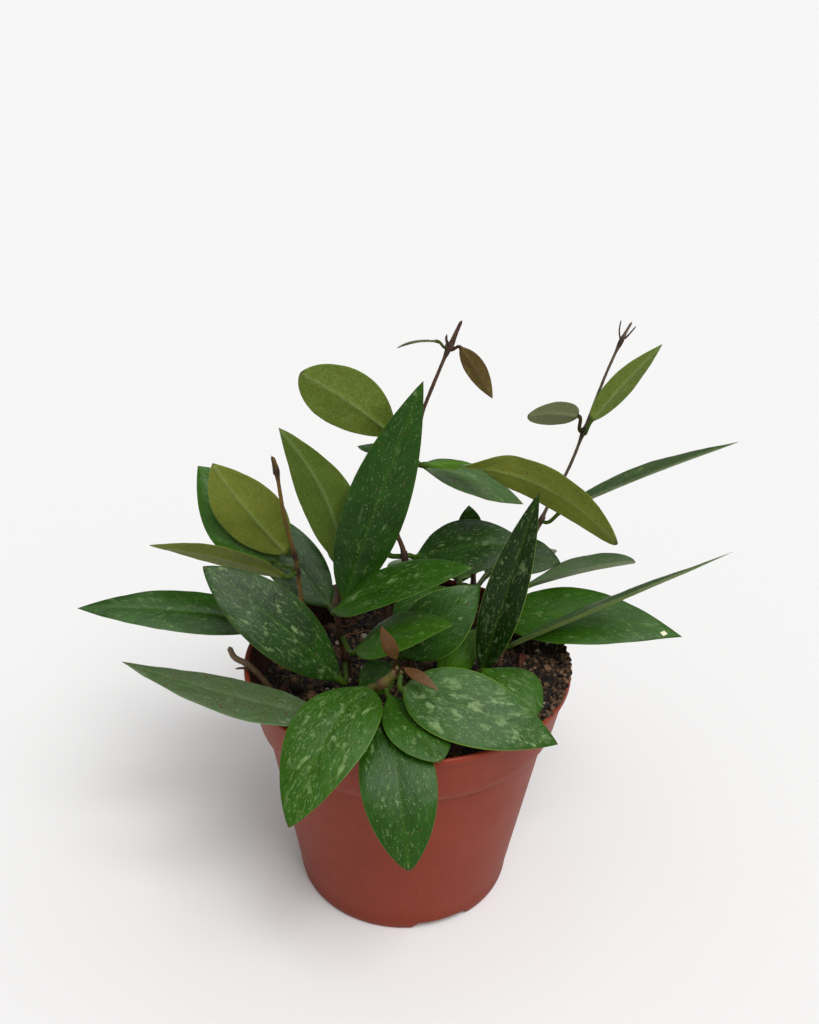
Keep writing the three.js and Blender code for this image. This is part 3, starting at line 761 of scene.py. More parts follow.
POT_SIDES = 224
SHARP_EDGE = math.radians(38)
NOTCH_SLOPE = 0.22          # how much narrower a gap is at its top than at its foot, as a share
NOTCH_DEPTH = 9 * MM
NOTCH_ANGLE = math.radians(22 - 90)  # the first gap in the foot ring, to the right of the front
FOOT_RING = 2.2 * MM        # thickness of the foot ring at its turned-in edge
PAD_SLOPE = 2 * MM          # run of the channel's side below the flat middle of the floor
DISH_TOP = 4 * MM           # how much wider the floor's dish is than that middle, at its top
DISH_FOOT = 1 * MM          # and at its foot
MEAN_RADIUS = 52            # of the wall, in millimetres, which turns an angle round it into a length


def collar_foot(pot):
    return pot.height - pot.collar_height


def outside_radius(pot, z):
    """Outside of the pot's straight walls, without the lip."""
    foot = collar_foot(pot)
    if z > foot:
        top = pot.rim_radius - pot.lip_proud
        return pot.collar_foot_radius + (top - pot.collar_foot_radius) * (z - foot) / pot.collar_height
    run = max(0, z - pot.foot_round) / (foot - pot.foot_round)
    return pot.body_foot_radius + (pot.body_top_radius - pot.body_foot_radius) * run


def pot_profile(pot):
    """Points (radius, height) from the middle of the underside, out, up and back down the inside."""
    lip_round = 0.9 * MM
    step = 0.8 * MM            # height of the soft step under the collar
    corner = 5 * MM            # height of the slanted corner between floor and wall inside
    corner_foot = 1.6 * MM     # its foot, out from the foot ring's inner side
    foot = collar_foot(pot)
    lip_foot = pot.height - pot.lip_height
    lip_middle = pot.height - lip_round
    floor_top = pot.channel_height + pot.floor
    ring_inner = pot.body_foot_radius - pot.foot_inset - FOOT_RING
    step_out = pot.collar_foot_radius - pot.body_top_radius
    outer = [
        (0, 0), (pot.pad_radius * 0.5, 0), (pot.pad_radius, 0),
        (pot.pad_radius + PAD_SLOPE, pot.channel_height),
        (ring_inner, pot.channel_height), (ring_inner, 0),
    ]
    outer += [
        (pot.body_foot_radius - pot.foot_inset * (1 - math.sin(a)), pot.foot_round * (1 - math.cos(a)))
        for a in even(0, math.pi / 2, steps=10)
    ]
    outer += [(outside_radius(pot, z), z) for z in even(pot.foot_round, foot - step, steps=12)[1:]]
    outer += [
        (pot.body_top_radius + step_out * rise * rise * (3 - 2 * rise), foot - step + 2 * step * rise)
        for rise in even(0, 1, steps=5)[1:]
    ]
    outer += [(outside_radius(pot, z), z) for z in even(foot + step, lip_foot, steps=6)[1:]]
    outer += [(pot.rim_radius - 0.15 * MM, lip_foot + 0.25 * MM), (pot.rim_radius, lip_foot + 0.7 * MM)]
    outer += arc(pot.rim_radius - lip_round, lip_middle, lip_round, 0, 90, steps=6)
    inner_rim = outside_radius(pot, pot.height) - pot.wall
    inner = arc(inner_rim + lip_round, lip_middle, lip_round, 90, 180, steps=6)
    inner += [
        (outside_radius(pot, z) - pot.wall, z) for z in even(pot.height - 2 * MM, foot + 2 * MM, steps=8)
    ]
    inner += [
        (pot.body_top_radius - pot.wall, foot - step),
        (outside_radius(pot, floor_top + corner) - pot.wall, floor_top + corner),
        (ring_inner + corner_foot, floor_top), (pot.pad_radius + DISH_TOP, floor_top),
        (pot.pad_radius + DISH_FOOT, pot.floor), (0, pot.floor),
    ]
    return outer + inner


def pot_tree(stations):
    """Turns the profile in the source mesh about Z and cuts the drain holes and the notches."""
    graph, of = geometry_tree("Nursery pot", (
        "Drain hole radius", "Drain hole circle", "Drain holes", "Floor top", "Notch width", "Notch height",
        "Notches", "Body foot radius",
    ))
    grid, _, x, y, height = turned(graph, of["Geometry"], stations, POT_SIDES)
    shell = graph.weld(graph.place(grid, graph.xyz(x, y, height)), WELD)

    def ring_of(shape, count, radius, turn, rotation=None):
        """Copies of a shape round the Z axis, the first at an angle."""
        spots = graph.add("GeometryNodeMeshCircle", {
            "Vertices": graph.number("ROUND", count), "Radius": radius,
        })
        spots = graph.add("GeometryNodeTransform", {
            "Geometry": spots, "Rotation": graph.xyz(0.0, 0.0, turn),
        })
        return graph.add("GeometryNodeInstanceOnPoints", {
            "Points": spots, "Instance": shape, "Rotation": rotation,
        })

    hole = graph.add("GeometryNodeMeshCylinder", {
        "Vertices": 32, "Radius": of["Drain hole radius"], "Depth": of["Floor top"] * 4,
    }, "Mesh")
    holes = ring_of(hole, of["Drain holes"], of["Drain hole circle"], math.pi / of["Drain holes"])
    x, y, z = graph.split(graph.position())
    notch = graph.add("GeometryNodeMeshCube", {
        "Size": graph.xyz(NOTCH_DEPTH, of["Notch width"], of["Notch height"] * 2),
    }, "Mesh")
    notch = graph.place(notch, graph.xyz(x, y * (1 - NOTCH_SLOPE * z / of["Notch height"]), z))
    facing = graph.xyz(0.0, 0.0, graph.number("ARCTAN2", y, x))
    notches = ring_of(notch, of["Notches"], of["Body foot radius"], NOTCH_ANGLE, facing)
    cutters = graph.add("GeometryNodeJoinGeometry", {"Geometry": [holes, notches]})
    cutters = graph.add("GeometryNodeRealizeInstances", {"Geometry": cutters})
    cut = graph.add(
        "GeometryNodeMeshBoolean", {"Mesh 1": shell, "Mesh 2": cutters}, "Mesh",
        operation="DIFFERENCE", solver="EXACT",
    )
    return graph.close(cut, of["Material"])


def pot_material(pot):
    """Satin plastic, cloudy and rubbed pale near the rim, with peat round the foot, and painted shade with
    clinging peat inside the collar.
    """
    finish = Finish("Terracotta plastic")
    graph = finish.graph
    place = finish.millimetres()
    x, y, z = graph.split(place)
    foot = collar_foot(pot) / MM
    collar_slope = (pot.rim_radius - pot.lip_proud - pot.collar_foot_radius) / pot.collar_height
    middle_of_wall = (pot.collar_foot_radius - pot.wall / 2) / MM + (z - foot) * collar_slope
    inside = graph.number("LESS_THAN", graph.root(x * x + y * y), middle_of_wall)
    inside = inside * graph.number("GREATER_THAN", z, foot + 1)
    around = graph.number("ARCTAN2", x, -1 * y) * MEAN_RADIUS
    clouds = finish.patches(place, 26.0, 0.5, 0.3)
    bands = finish.patches(graph.xyz(around, 0.0, z * 0.12), 7.0, 0.5, 0.35)
    streaks = finish.patches(graph.xyz(around, 0.0, z * 0.06), 0.9, 0.3, 0.1)
    rubs = finish.patches(graph.xyz(around * 0.5, 3.0, z * 1.3), 1.1, 0.06, 0.03)
    rub_areas = finish.patches(place, 17.0, 0.35, 0.08)
    specks = finish.patches(place, 0.5, 0.05, 0.03)
    near_rim = graph.smooth(z, 76.0, 90.0)
    near_foot = 1 - graph.smooth(z, 2.0, 11.0)
    above_peat = graph.smooth(z, 83.0, 92.0)
    rub = graph.clamp(rubs * rub_areas * (0.35 + near_rim))
    dirt = graph.clamp(specks * 0.6 + near_foot * bands * 0.35)
    # Inside, peat clings to the wall, thicker towards the peat.
    # Inside, painted shade and clinging peat darken the wall: solidly near the peat, in patches up to the
    # lip.
    below_lip = 1 - graph.smooth(z, 93.6, 94.8)
    peat_and_shade_inside = finish.patches(place, 3.2, 1.25 - 0.35 * above_peat, 0.16) * inside * below_lip
    finish.colour = pot.plastic
    finish.cover(pot.plastic * 0.78, clouds * 0.45 + bands * 0.2)
    finish.cover(pot.scuffed, streaks * 0.05 + rub * 0.65)
    finish.cover(pot.soiled, dirt)
    # Painted shade: the inside wall made nearly black, with clinging peat in its patches.
    finish.cover(pot.soiled * 0.3, peat_and_shade_inside)
    orange_peel = finish.height(graph.xyz(around, 0.0, z), 2.6)
    height = finish.height(place, 0.32) * 0.25 + orange_peel * 0.5 + rub * 0.25 + peat_and_shade_inside * 2
    roughness = 0.46 + clouds * 0.08 + rub * 0.15 + peat_and_shade_inside * 0.4 + dirt * 0.1
    return finish.finish(roughness, height, depth=0.09, specular=0.22)


class HOYA_OT_pot(bpy.types.Operator):
    """Makes the nursery pot with its collar, foot ring and drain holes"""
    bl_idname = "hoya.pot"
    bl_label = "Nursery Pot"

    def execute(self, context):
        pot = context.scene.hoya_pot
        points = pot_profile(pot)
        source = chain_mesh("pot_profile", [[(r, 0, z) for r, z in points]])
        piece = grown(
            "nursery_pot", pot_tree(len(points)), pot, source,
            floor_top=pot.channel_height + pot.floor, material=pot_material(pot),
        )
        hand_over(piece, "pot", SHARP_EDGE)
        return {"FINISHED"}


# ---------------------------------------------------------------- the peat

PEAT_SIDES = 288
PEAT_RINGS = 72


def peat_profile(pot, peat):
    """Underside points as in the pot, then rings of the top, whose height the tree works out. Returns them
    and how many lie below the top."""
    floor_gap = 0.3 * MM
    gap = 0.7 * MM             # kept from the lower wall
    low = 13 * MM              # where the peat first reaches that wall
    floor_top = pot.channel_height + pot.floor + floor_gap
    foot = collar_foot(pot)
    edge = outside_radius(pot, peat.surface - 2 * MM) - pot.wall - peat.wall_gap
    under = [
        (0, pot.floor + floor_gap),
        (pot.pad_radius, pot.floor + floor_gap),
        (pot.pad_radius + DISH_TOP, floor_top),
        (pot.body_foot_radius - pot.foot_inset - 3 * MM, floor_top),
        (outside_radius(pot, low) - pot.wall - gap, low),
        (outside_radius(pot, foot - MM) - pot.wall - 2 * gap, foot),
        (outside_radius(pot, foot + 3 * MM) - pot.wall - peat.wall_gap - gap, foot + 3 * MM),
        (edge, foot + 5 * MM),
    ]
    return under + [(radius, 0) for radius in even(edge, 0, PEAT_RINGS)], len(under)


def peat_height(graph, of, x, y):
    """Height of the peat at a place: a low crown with crossing waves that rises a little to the right."""
    wave = (2 * math.pi) / of["Lump length"]
    crossing = graph.sine(wave * x + 1) * graph.cosine(wave * y)
    diagonal = graph.sine(wave * 2 * (x - y)) * 0.5
    edge = graph.root(x * x + y * y) / of["Inside radius"]
    crown = of["Crown"] * (0.5 - edge * edge)
    towards = x * graph.cosine(of["Heap angle"]) + y * graph.sine(of["Heap angle"])
    heap = of["Heap"] * graph.smooth(towards, of["Heap foot"], of["Inside radius"])
    return of["Surface"] + crown + of["Lean"] * x + heap + of["Lump height"] * (crossing + diagonal)


def peat_tree(stations):
    """Turns the profile about Z and roughens its top."""
    graph, of = geometry_tree("Peat", (
        "Surface", "Crown", "Lean", "Heap", "Heap foot", "Heap angle", "Lump height", "Lump length",
        "Inside radius", "Crumb",
    ))
    grid, index, x, y, height = turned(graph, of["Geometry"], stations, PEAT_SIDES)
    top = graph.sample(of["Geometry"], graph.attribute("top", "FLOAT"), index, "FLOAT")
    # Coarse crumbs, finer crumbs and a few deeper gaps between them.
    grain = of["Crumb"] * 0.5
    spot = graph.xyz(x, y, 0.0)
    coarse = graph.noise(spot / (grain * 3.2), 2.0) - 0.5
    cells = graph.add("ShaderNodeTexVoronoi", {"Vector": spot / (grain * 1.3), "Scale": 1.0}, "Distance")
    fine = graph.noise(spot / (grain * 0.45), 3.0, 0.65) - 0.5
    rough = coarse * 2.2 + (0.45 - cells) + fine * 0.9
    # The outermost rings run down between the crumbs and the wall.
    sunk = graph.smooth(graph.root(x * x + y * y) / of["Inside radius"], 0.955, 1.0)
    level = peat_height(graph, of, x, y) + grain * rough * (1 - sunk * 0.6) - sunk * grain * 0.3
    marked = graph.store(grid, "peat_part", graph.xyz(top, rough, 0.0))
    body = graph.place(marked, graph.xyz(x, y, graph.blend(height, level, top)))
    return graph.close(graph.weld(body, WELD), of["Material"])


def peat_material(peat):
    """Painted shade in the gaps, with dry brown and straw-coloured crumbs on what stands up."""
    finish = Finish("Damp peat")
    graph = finish.graph
    place = finish.millimetres()
    _, rough, _ = finish.stored("peat_part")
    dry = finish.patches(place, 4.5, 0.42, 0.12)
    crumbs = finish.patches(place, 0.9, 0.45, 0.08)
    pale = finish.patches(place, 0.6, 0.2, 0.04)
    raised = graph.smooth(rough, -0.6, 1.1)
    # Painted shade: the low places between the crumbs keep a third of the peat's colour.
    finish.colour = peat.dark * 0.35
    finish.cover(peat.dark, raised)
    finish.cover(peat.brown, dry * crumbs * raised * 0.6)
    finish.cover(peat.straw, pale * raised * 0.7)
    height = finish.height(place, 0.5) + crumbs * 0.4
    return finish.finish(0.93 - pale * 0.2, height, depth=0.7, specular=0.3)


class HOYA_OT_peat(bpy.types.Operator):
    """Fills the pot with lumpy damp peat"""
    bl_idname = "hoya.peat"
    bl_label = "Peat"

    def execute(self, context):
        pot = context.scene.hoya_pot
        peat = context.scene.hoya_peat
        points, below = peat_profile(pot, peat)
        source = chain_mesh(
            "peat_profile", [[(r, 0, z) for r, z in points]],
            top=[float(i >= below) for i in range(len(points))],
        )
        piece = grown(
            "peat", peat_tree(len(points)), peat, source,
            inside_radius=outside_radius(pot, peat.surface) - pot.wall, material=peat_material(peat),
        )
        hand_over(piece, "soil")
        return {"FINISHED"}


# ---------------------------------------------------------------- what lies on the peat

SPILL_ANGLE = math.radians(40)  # to each side of the heap's middle
SPILL_STEPS = 24
# The section of the spilled peat: how far out from the rim and above it each point lies, in millimetres.
SPILL_ACROSS = ((-4.6, -0.8), (-3.0, 0.2), (-1.6, 0.9), (-0.5, 0.6))
CHIP_TILT = 0.4             # how far a chip of bark leans at most, in radians
FIBRE_TILT = 0.3
CHIP_EDGE = 0.6             # edges of a chip past this angle stay hard


def ball(detail):
    """The maker of a ball of that detail."""
    def shape(graph, span):
        inputs = {"Radius": span * 0.5, "Subdivisions": detail}
        return graph.add("GeometryNodeMeshIcoSphere", inputs, "Mesh")
    return shape


def chip(graph, span):
    """A flat block, fine enough to be roughened."""
    return graph.add("GeometryNodeMeshCube", {
        "Size": graph.xyz(span, span * 0.42, span * 0.2), "Vertices X": 7, "Vertices Y": 5, "Vertices Z": 3,
    }, "Mesh")


def fibre(graph, span):
    """A thin strand with a double bend."""
    line = graph.add("GeometryNodeCurvePrimitiveBezierSegment", {
        "Resolution": 7, "Start": graph.xyz(span * -0.5, 0.0, 0.0), "End": graph.xyz(span * 0.5, 0.0, 0.0),
        "Start Handle": graph.xyz(span * -0.2, span * 0.25, span * 0.08),
        "End Handle": graph.xyz(span * 0.25, span * -0.22, span * 0.12),
    })
    return graph.tube(line, graph.ring(4, span * 0.017))


def scatter_tree(name, shape, seed, rough, tilt, squash):
    """Scatters copies of a shape over the top of the source mesh, each with its own turn, size and tint."""
    graph, of = geometry_tree(name, ("Span", "Number", "Edge"))
    x, y, _ = graph.split(graph.position())
    top, _, _ = graph.split(graph.attribute("peat_part"))
    inside = graph.number("LESS_THAN", graph.root(x * x + y * y), of["Edge"])
    spots = graph.add("GeometryNodeDistributePointsOnFaces", {
        "Mesh": of["Geometry"], "Selection": graph.number("GREATER_THAN", graph.least(top, inside), 0.9),
        "Density": of["Number"] / (of["Edge"] * of["Edge"] * math.pi), "Seed": seed,
    }, "Points")
    scale = graph.random(0.5, 1.35, seed + 2)
    flat = graph.random(squash, 1.0, seed + 3)
    placed = graph.add("GeometryNodeInstanceOnPoints", {
        "Points": spots, "Instance": shape(graph, of["Span"]),
        "Rotation": graph.random((-tilt, -tilt, 0), (tilt, tilt, 2 * math.pi), seed + 1, "FLOAT_VECTOR"),
        "Scale": graph.xyz(scale, scale, scale * flat),
    })
    tint = graph.random((0, 0, 0), (1, 1, 1), seed + 4, "FLOAT_VECTOR")
    placed = graph.store(placed, "bit_tint", tint, "INSTANCE")
    real = graph.add("GeometryNodeRealizeInstances", {"Geometry": placed})
    bumps = graph.noise(graph.position() / (of["Span"] * 0.45), 2.0) - 0.5
    return graph.close(graph.swell(real, bumps * of["Span"] * rough), of["Material"])


def bits_material(name, low, high, span, roughness, contrast=1.0):
    """Each bit has its own tint between two colours, with stains of this span."""
    finish = Finish(name)
    place = finish.millimetres()
    tint, shade, _ = finish.stored("bit_tint")
    stain = finish.patches(place, span, 0.35, 0.15)
    finish.colour = low
    finish.cover(high, tint ** contrast * 1.1)
    finish.cover(low * 0.45, stain * 0.6 + shade * 0.25)
    return finish.finish(
        roughness + stain * 0.1, finish.height(place, span * 0.4), depth=span * 0.4, specular=0.3,
    )


def spill_mesh(pot, peat):
    """A low ridge along the lip beside the heap, where peat has spilled onto it."""
    points = []
    for turn in even(-1, 1, SPILL_STEPS):
        angle = peat.heap_angle + SPILL_ANGLE * turn
        low = 1 - abs(turn) ** 3
        for out, up in SPILL_ACROSS:
            radius = pot.rim_radius + out * MM
            points.append((radius * math.cos(angle), radius * math.sin(angle), pot.height + up * low * MM))
    row = len(SPILL_ACROSS)
    firsts = [i * row + j for i in range(SPILL_STEPS) for j in range(row - 1)]
    mesh = bpy.data.meshes.new("spill")
    mesh.from_pydata(points, [], [(i, i + 1, i + row + 1, i + row) for i in firsts])
    part = mesh.attributes.new("peat_part", "FLOAT_VECTOR", "POINT")
    part.data.foreach_set("vector", (1, 0, 0) * len(points))
    return mesh


class HOYA_OT_bits(bpy.types.Operator):
    """Scatters crumbs, perlite, bark and fibres over the peat"""
    bl_idname = "hoya.bits"
    bl_label = "Crumbs, Perlite and Bark"

    def execute(self, context):
        pot = context.scene.hoya_pot
        peat = context.scene.hoya_peat
        ground = bpy.data.objects.get("peat")
        if ground is None:
            raise RuntimeError("the peat has to be made before what lies on it")
        edge = outside_radius(pot, peat.surface) - pot.wall
        crumb_paint = (peat.dark * 0.4, peat.brown, 0.6, 0.9, 1.8)
        clod_paint = (peat.dark * 0.4, peat.brown, 1.2, 0.9, 1.8)
        perlite_paint = (peat.perlite * 0.62, peat.perlite, 0.9, 0.85)
        bark_paint = (peat.bark * 0.3, peat.bark * 0.75, 0.8, 0.85)
        fibre_paint = (peat.straw * 0.4, peat.straw, 0.7, 0.8)
        # Name, shape, span, how many, seed, roughness, tilt, least height, colours.
        rows = (
            ("peat_crumbs", ball(1), peat.crumb, 1500, 11, 0.35, math.pi, 0.6, crumb_paint),
            ("peat_clods", ball(3), peat.clod, 170, 17, 0.5, math.pi, 0.7, clod_paint),
            ("perlite_grains", ball(3), peat.grit, 40, 23, 0.55, math.pi, 0.7, perlite_paint),
            ("bark_chips", chip, peat.chip, 42, 31, 0.12, CHIP_TILT, 0.6, bark_paint),
            ("peat_fibres", fibre, peat.fibre, 190, 47, 0.02, FIBRE_TILT, 0.8, fibre_paint),
            ("spilled_peat", ball(1), peat.crumb * 0.9, peat.spill / MM ** 2 * edge * edge * math.pi,
             61, 0.35, math.pi, 0.7, crumb_paint),
        )
        for name, shape, span, number, seed, rough, tilt, squash, paint in rows:
            spilled = name == "spilled_peat"
            piece = grown(
                name, scatter_tree(name, shape, seed, rough, tilt, squash),
                source=spill_mesh(pot, peat) if spilled else ground.data.copy(),
                span=span, number=number, edge=pot.rim_radius if spilled else edge - span * 0.5,
                material=bits_material(name, *paint),
            )
            hand_over(piece, sharp=CHIP_EDGE if shape is chip else None)
        return {"FINISHED"}


# ---------------------------------------------------------------- stems

STEM_SIDES = 16
STEM_STEP = 0.9 * MM
SEED_STEP = 5               # from one stem's unevenness to the next one's
YOUNG_STEM = "front_shoot"


def direction_at(stem, index):
    """The way a stem runs at one of its points."""
    before = Vector(stem.points[max(0, index - 1)])
    after = Vector(stem.points[min(len(stem.points) - 1, index + 1)])
    return (after - before).normalized()


def radius_at(stem, index):
    """Its radius there, in millimetres, without the swelling of the joint."""
    return stem.radius + (stem.tip_radius - stem.radius) * index / (len(stem.points) - 1)


def outward(stem, leaf):
    """From a leaf's joint square to the stem, towards the leaf."""
    away = Vector(leaf.base) - Vector(stem.points[leaf.at])
    run = direction_at(stem, leaf.at)
    return (away - run * away.dot(run)).normalized()


def bud(stem, leaf, settings):
    """The resting bud in the angle above a leaf: its radius and its points."""
    run = direction_at(stem, leaf.at)
    side = outward(stem, leaf)
    foot = Vector(stem.points[leaf.at]) + side * stem.radius * 0.7 + run * 0.6
    end = foot + (side * 0.6 + run) * (settings.bud / MM)
    return 0.75, (foot, foot.lerp(end, 0.55) + side * 0.2, end)


def stem_source(name, settings):
    """The stem's centre line, its growths and its buds as chains of points, in metres."""
    stem = STEMS[name]
    points = range(len(stem.points))
    chains = [stem.points]
    radius = [radius_at(stem, i) * MM for i in points]
    joint = [float(i in stem.joints) for i in points]
    growth = [0.0 for i in points]
    buds = [bud(stem, leaf, settings) for leaf in LEAVES.get(name, ())]
    for foot_radius, chain in [*stem.growths, *buds]:
        chains.append(chain)
        radius += even(foot_radius * MM, foot_radius * 0.55 * MM, len(chain) - 1)
        joint += [0.0] * len(chain)
        growth += [1.0] * len(chain)
    lines = [[tuple(Vector(point) * MM) for point in chain] for chain in chains]
    return chain_mesh(name + "_line", lines, stem_radius=radius, joint=joint, growth=growth)


def stem_tree():
    """Sweeps a round section along the chains, thicker at the joints and rounded at the ends."""
    graph, of = geometry_tree("Hoya stem", ("Joint swell", "Joint length", "Seed", "Olive", "Grey"))
    line = graph.add("GeometryNodeMeshToCurve", {"Mesh": of["Geometry"]})
    line = graph.add("GeometryNodeCurveSplineType", {"Curve": line}, spline_type="CATMULL_ROM")
    line = graph.add("GeometryNodeSetSplineResolution", {"Geometry": line, "Resolution": 16})
    line = graph.add("GeometryNodeResampleCurve", {"Curve": line, "Length": STEM_STEP}, mode="LENGTH")
    joints = graph.add("GeometryNodeDeleteGeometry", {
        "Geometry": of["Geometry"],
        "Selection": graph.number("LESS_THAN", graph.attribute("joint", "FLOAT"), 0.5),
    }, domain="POINT")
    distance = graph.add(
        "GeometryNodeProximity", {"Geometry": joints}, "Distance", target_element="POINTS",
    )
    has_joint = Field(graph, enabled(distance.socket.node.outputs, "Is Valid"))
    near = graph.bell(distance / of["Joint length"]) * has_joint
    along = graph.add("GeometryNodeSplineParameter", (), "Length")
    whole = graph.add("GeometryNodeSplineLength", (), "Length")
    growth = graph.attribute("growth", "FLOAT")
    radius = graph.attribute("stem_radius", "FLOAT")
    # The end is rounded, and the bark is a little uneven.
    past = 1 - graph.clamp((whole - along) / (radius * (1 + growth)))
    tip = graph.root(graph.clamp(1 - past * past) + 0.01)
    uneven = 1 + 0.16 * (graph.noise(graph.position() / (3.5 * MM) + of["Seed"], 2.0) - 0.5)
    thickness = (radius * uneven + of["Joint swell"] * near * (1 - growth)) * tip
    line = graph.store(line, "stem_place", graph.xyz(along / MM, near, growth))
    line = graph.store(line, "stem_looks", graph.xyz(of["Olive"], of["Grey"], 0.0))
    tube = graph.tube(line, graph.ring(STEM_SIDES, 1.0), thickness)
    bumps = graph.noise(graph.position() / (1.6 * MM), 3.0) - 0.5
    return graph.close(graph.swell(tube, bumps * (0.22 * MM)), of["Material"])


def stem_material(name, settings, low, high, joint_colour):
    """Bark streaked between two colours, with the stem's own tints, and rings that old leaves have left."""
    finish = Finish(name)
    graph = finish.graph
    place = finish.millimetres()
    x, y, z = graph.split(place)
    along, near, growth = finish.stored("stem_place")
    olive, grey, _ = finish.stored("stem_looks")
    streaks = finish.patches(graph.xyz(x, y, z * 0.16), 0.55, 0.4, 0.12)
    clouds = finish.patches(place, 5.0, 0.45, 0.2)
    finish.colour = low
    finish.cover(high, streaks * 0.55 + clouds * 0.25)
    finish.cover(settings.olive, olive * (0.7 + clouds * 0.3))
    finish.cover(settings.grey, grey * (0.6 + streaks * 0.4))
    finish.cover(joint_colour, graph.most(near, growth * 0.8))
    rings = graph.smooth(graph.sine(along * 2.4 + clouds * 3), 0.9, 1.0)
    height = finish.height(graph.xyz(x, y, z * 0.3), 0.4) + streaks * 0.3 + rings * 0.3
    return finish.finish(0.55 + streaks * 0.15, height, depth=0.2, specular=0.4)


class HOYA_OT_stems(bpy.types.Operator):
    """Grows the vines, shoots and stubs with their joints and buds"""
    bl_idname = "hoya.stems"
    bl_label = "Stems"

    def execute(self, context):
        settings = context.scene.hoya_stems
        tree = stem_tree()
        bark = stem_material(
            "Purplish bark", settings, settings.bark, settings.bark_light, settings.bark * 0.8,
        )
        green = stem_material(
            "Young olive stem", settings, settings.green, settings.green * 1.4, settings.bark_light,
        )
        for number, (name, stem) in enumerate(STEMS.items()):
            young = name == YOUNG_STEM
            piece = grown(
                name + "_stem", tree, settings, stem_source(name, settings), seed=number * SEED_STEP,
                olive=stem.olive, grey=stem.grey, material=green if young else bark,
            )
            hand_over(piece, name)
        return {"FINISHED"}


# ---------------------------------------------------------------- leaves

LEAF_STEPS = 84
LEAF_SIDES = 56
LEAF_WELD = 0.004 * MM
STALK_SHARE = 0.16          # share of the steps that the stalk takes
STALK_SUNK = 0.6            # how far a stalk starts inside its stem, in millimetres
STALK_REACH = 0.42          # how far a stalk keeps the way it starts and ends, as a share of its span
TWIST_END = 0.4             # how far along a blade its twist fades out
EDGE_CURL = 0.12            # share of the half width that the edges roll down
ROOT_END = 0.11             # how far along the blade its base still keeps the stalk's roundness
LOOK_AHEAD = 0.01           # how far along the midrib its direction is measured
EDGE_WAVE = 2.2             # the waves along the margins, against the soft dents
RIB_HALF = 0.8 * MM         # half the width of the midrib under the blade
GROWN_WIDTH = 20            # a blade narrower than this, in millimetres, has a lower rib and dents
MIDRIB_HALF = 0.6455        # reach of the midrib's paler colour to each side, in millimetres
VEIN_TURN = 0.6325          # how closely the side veins follow one another, in radians to a millimetre


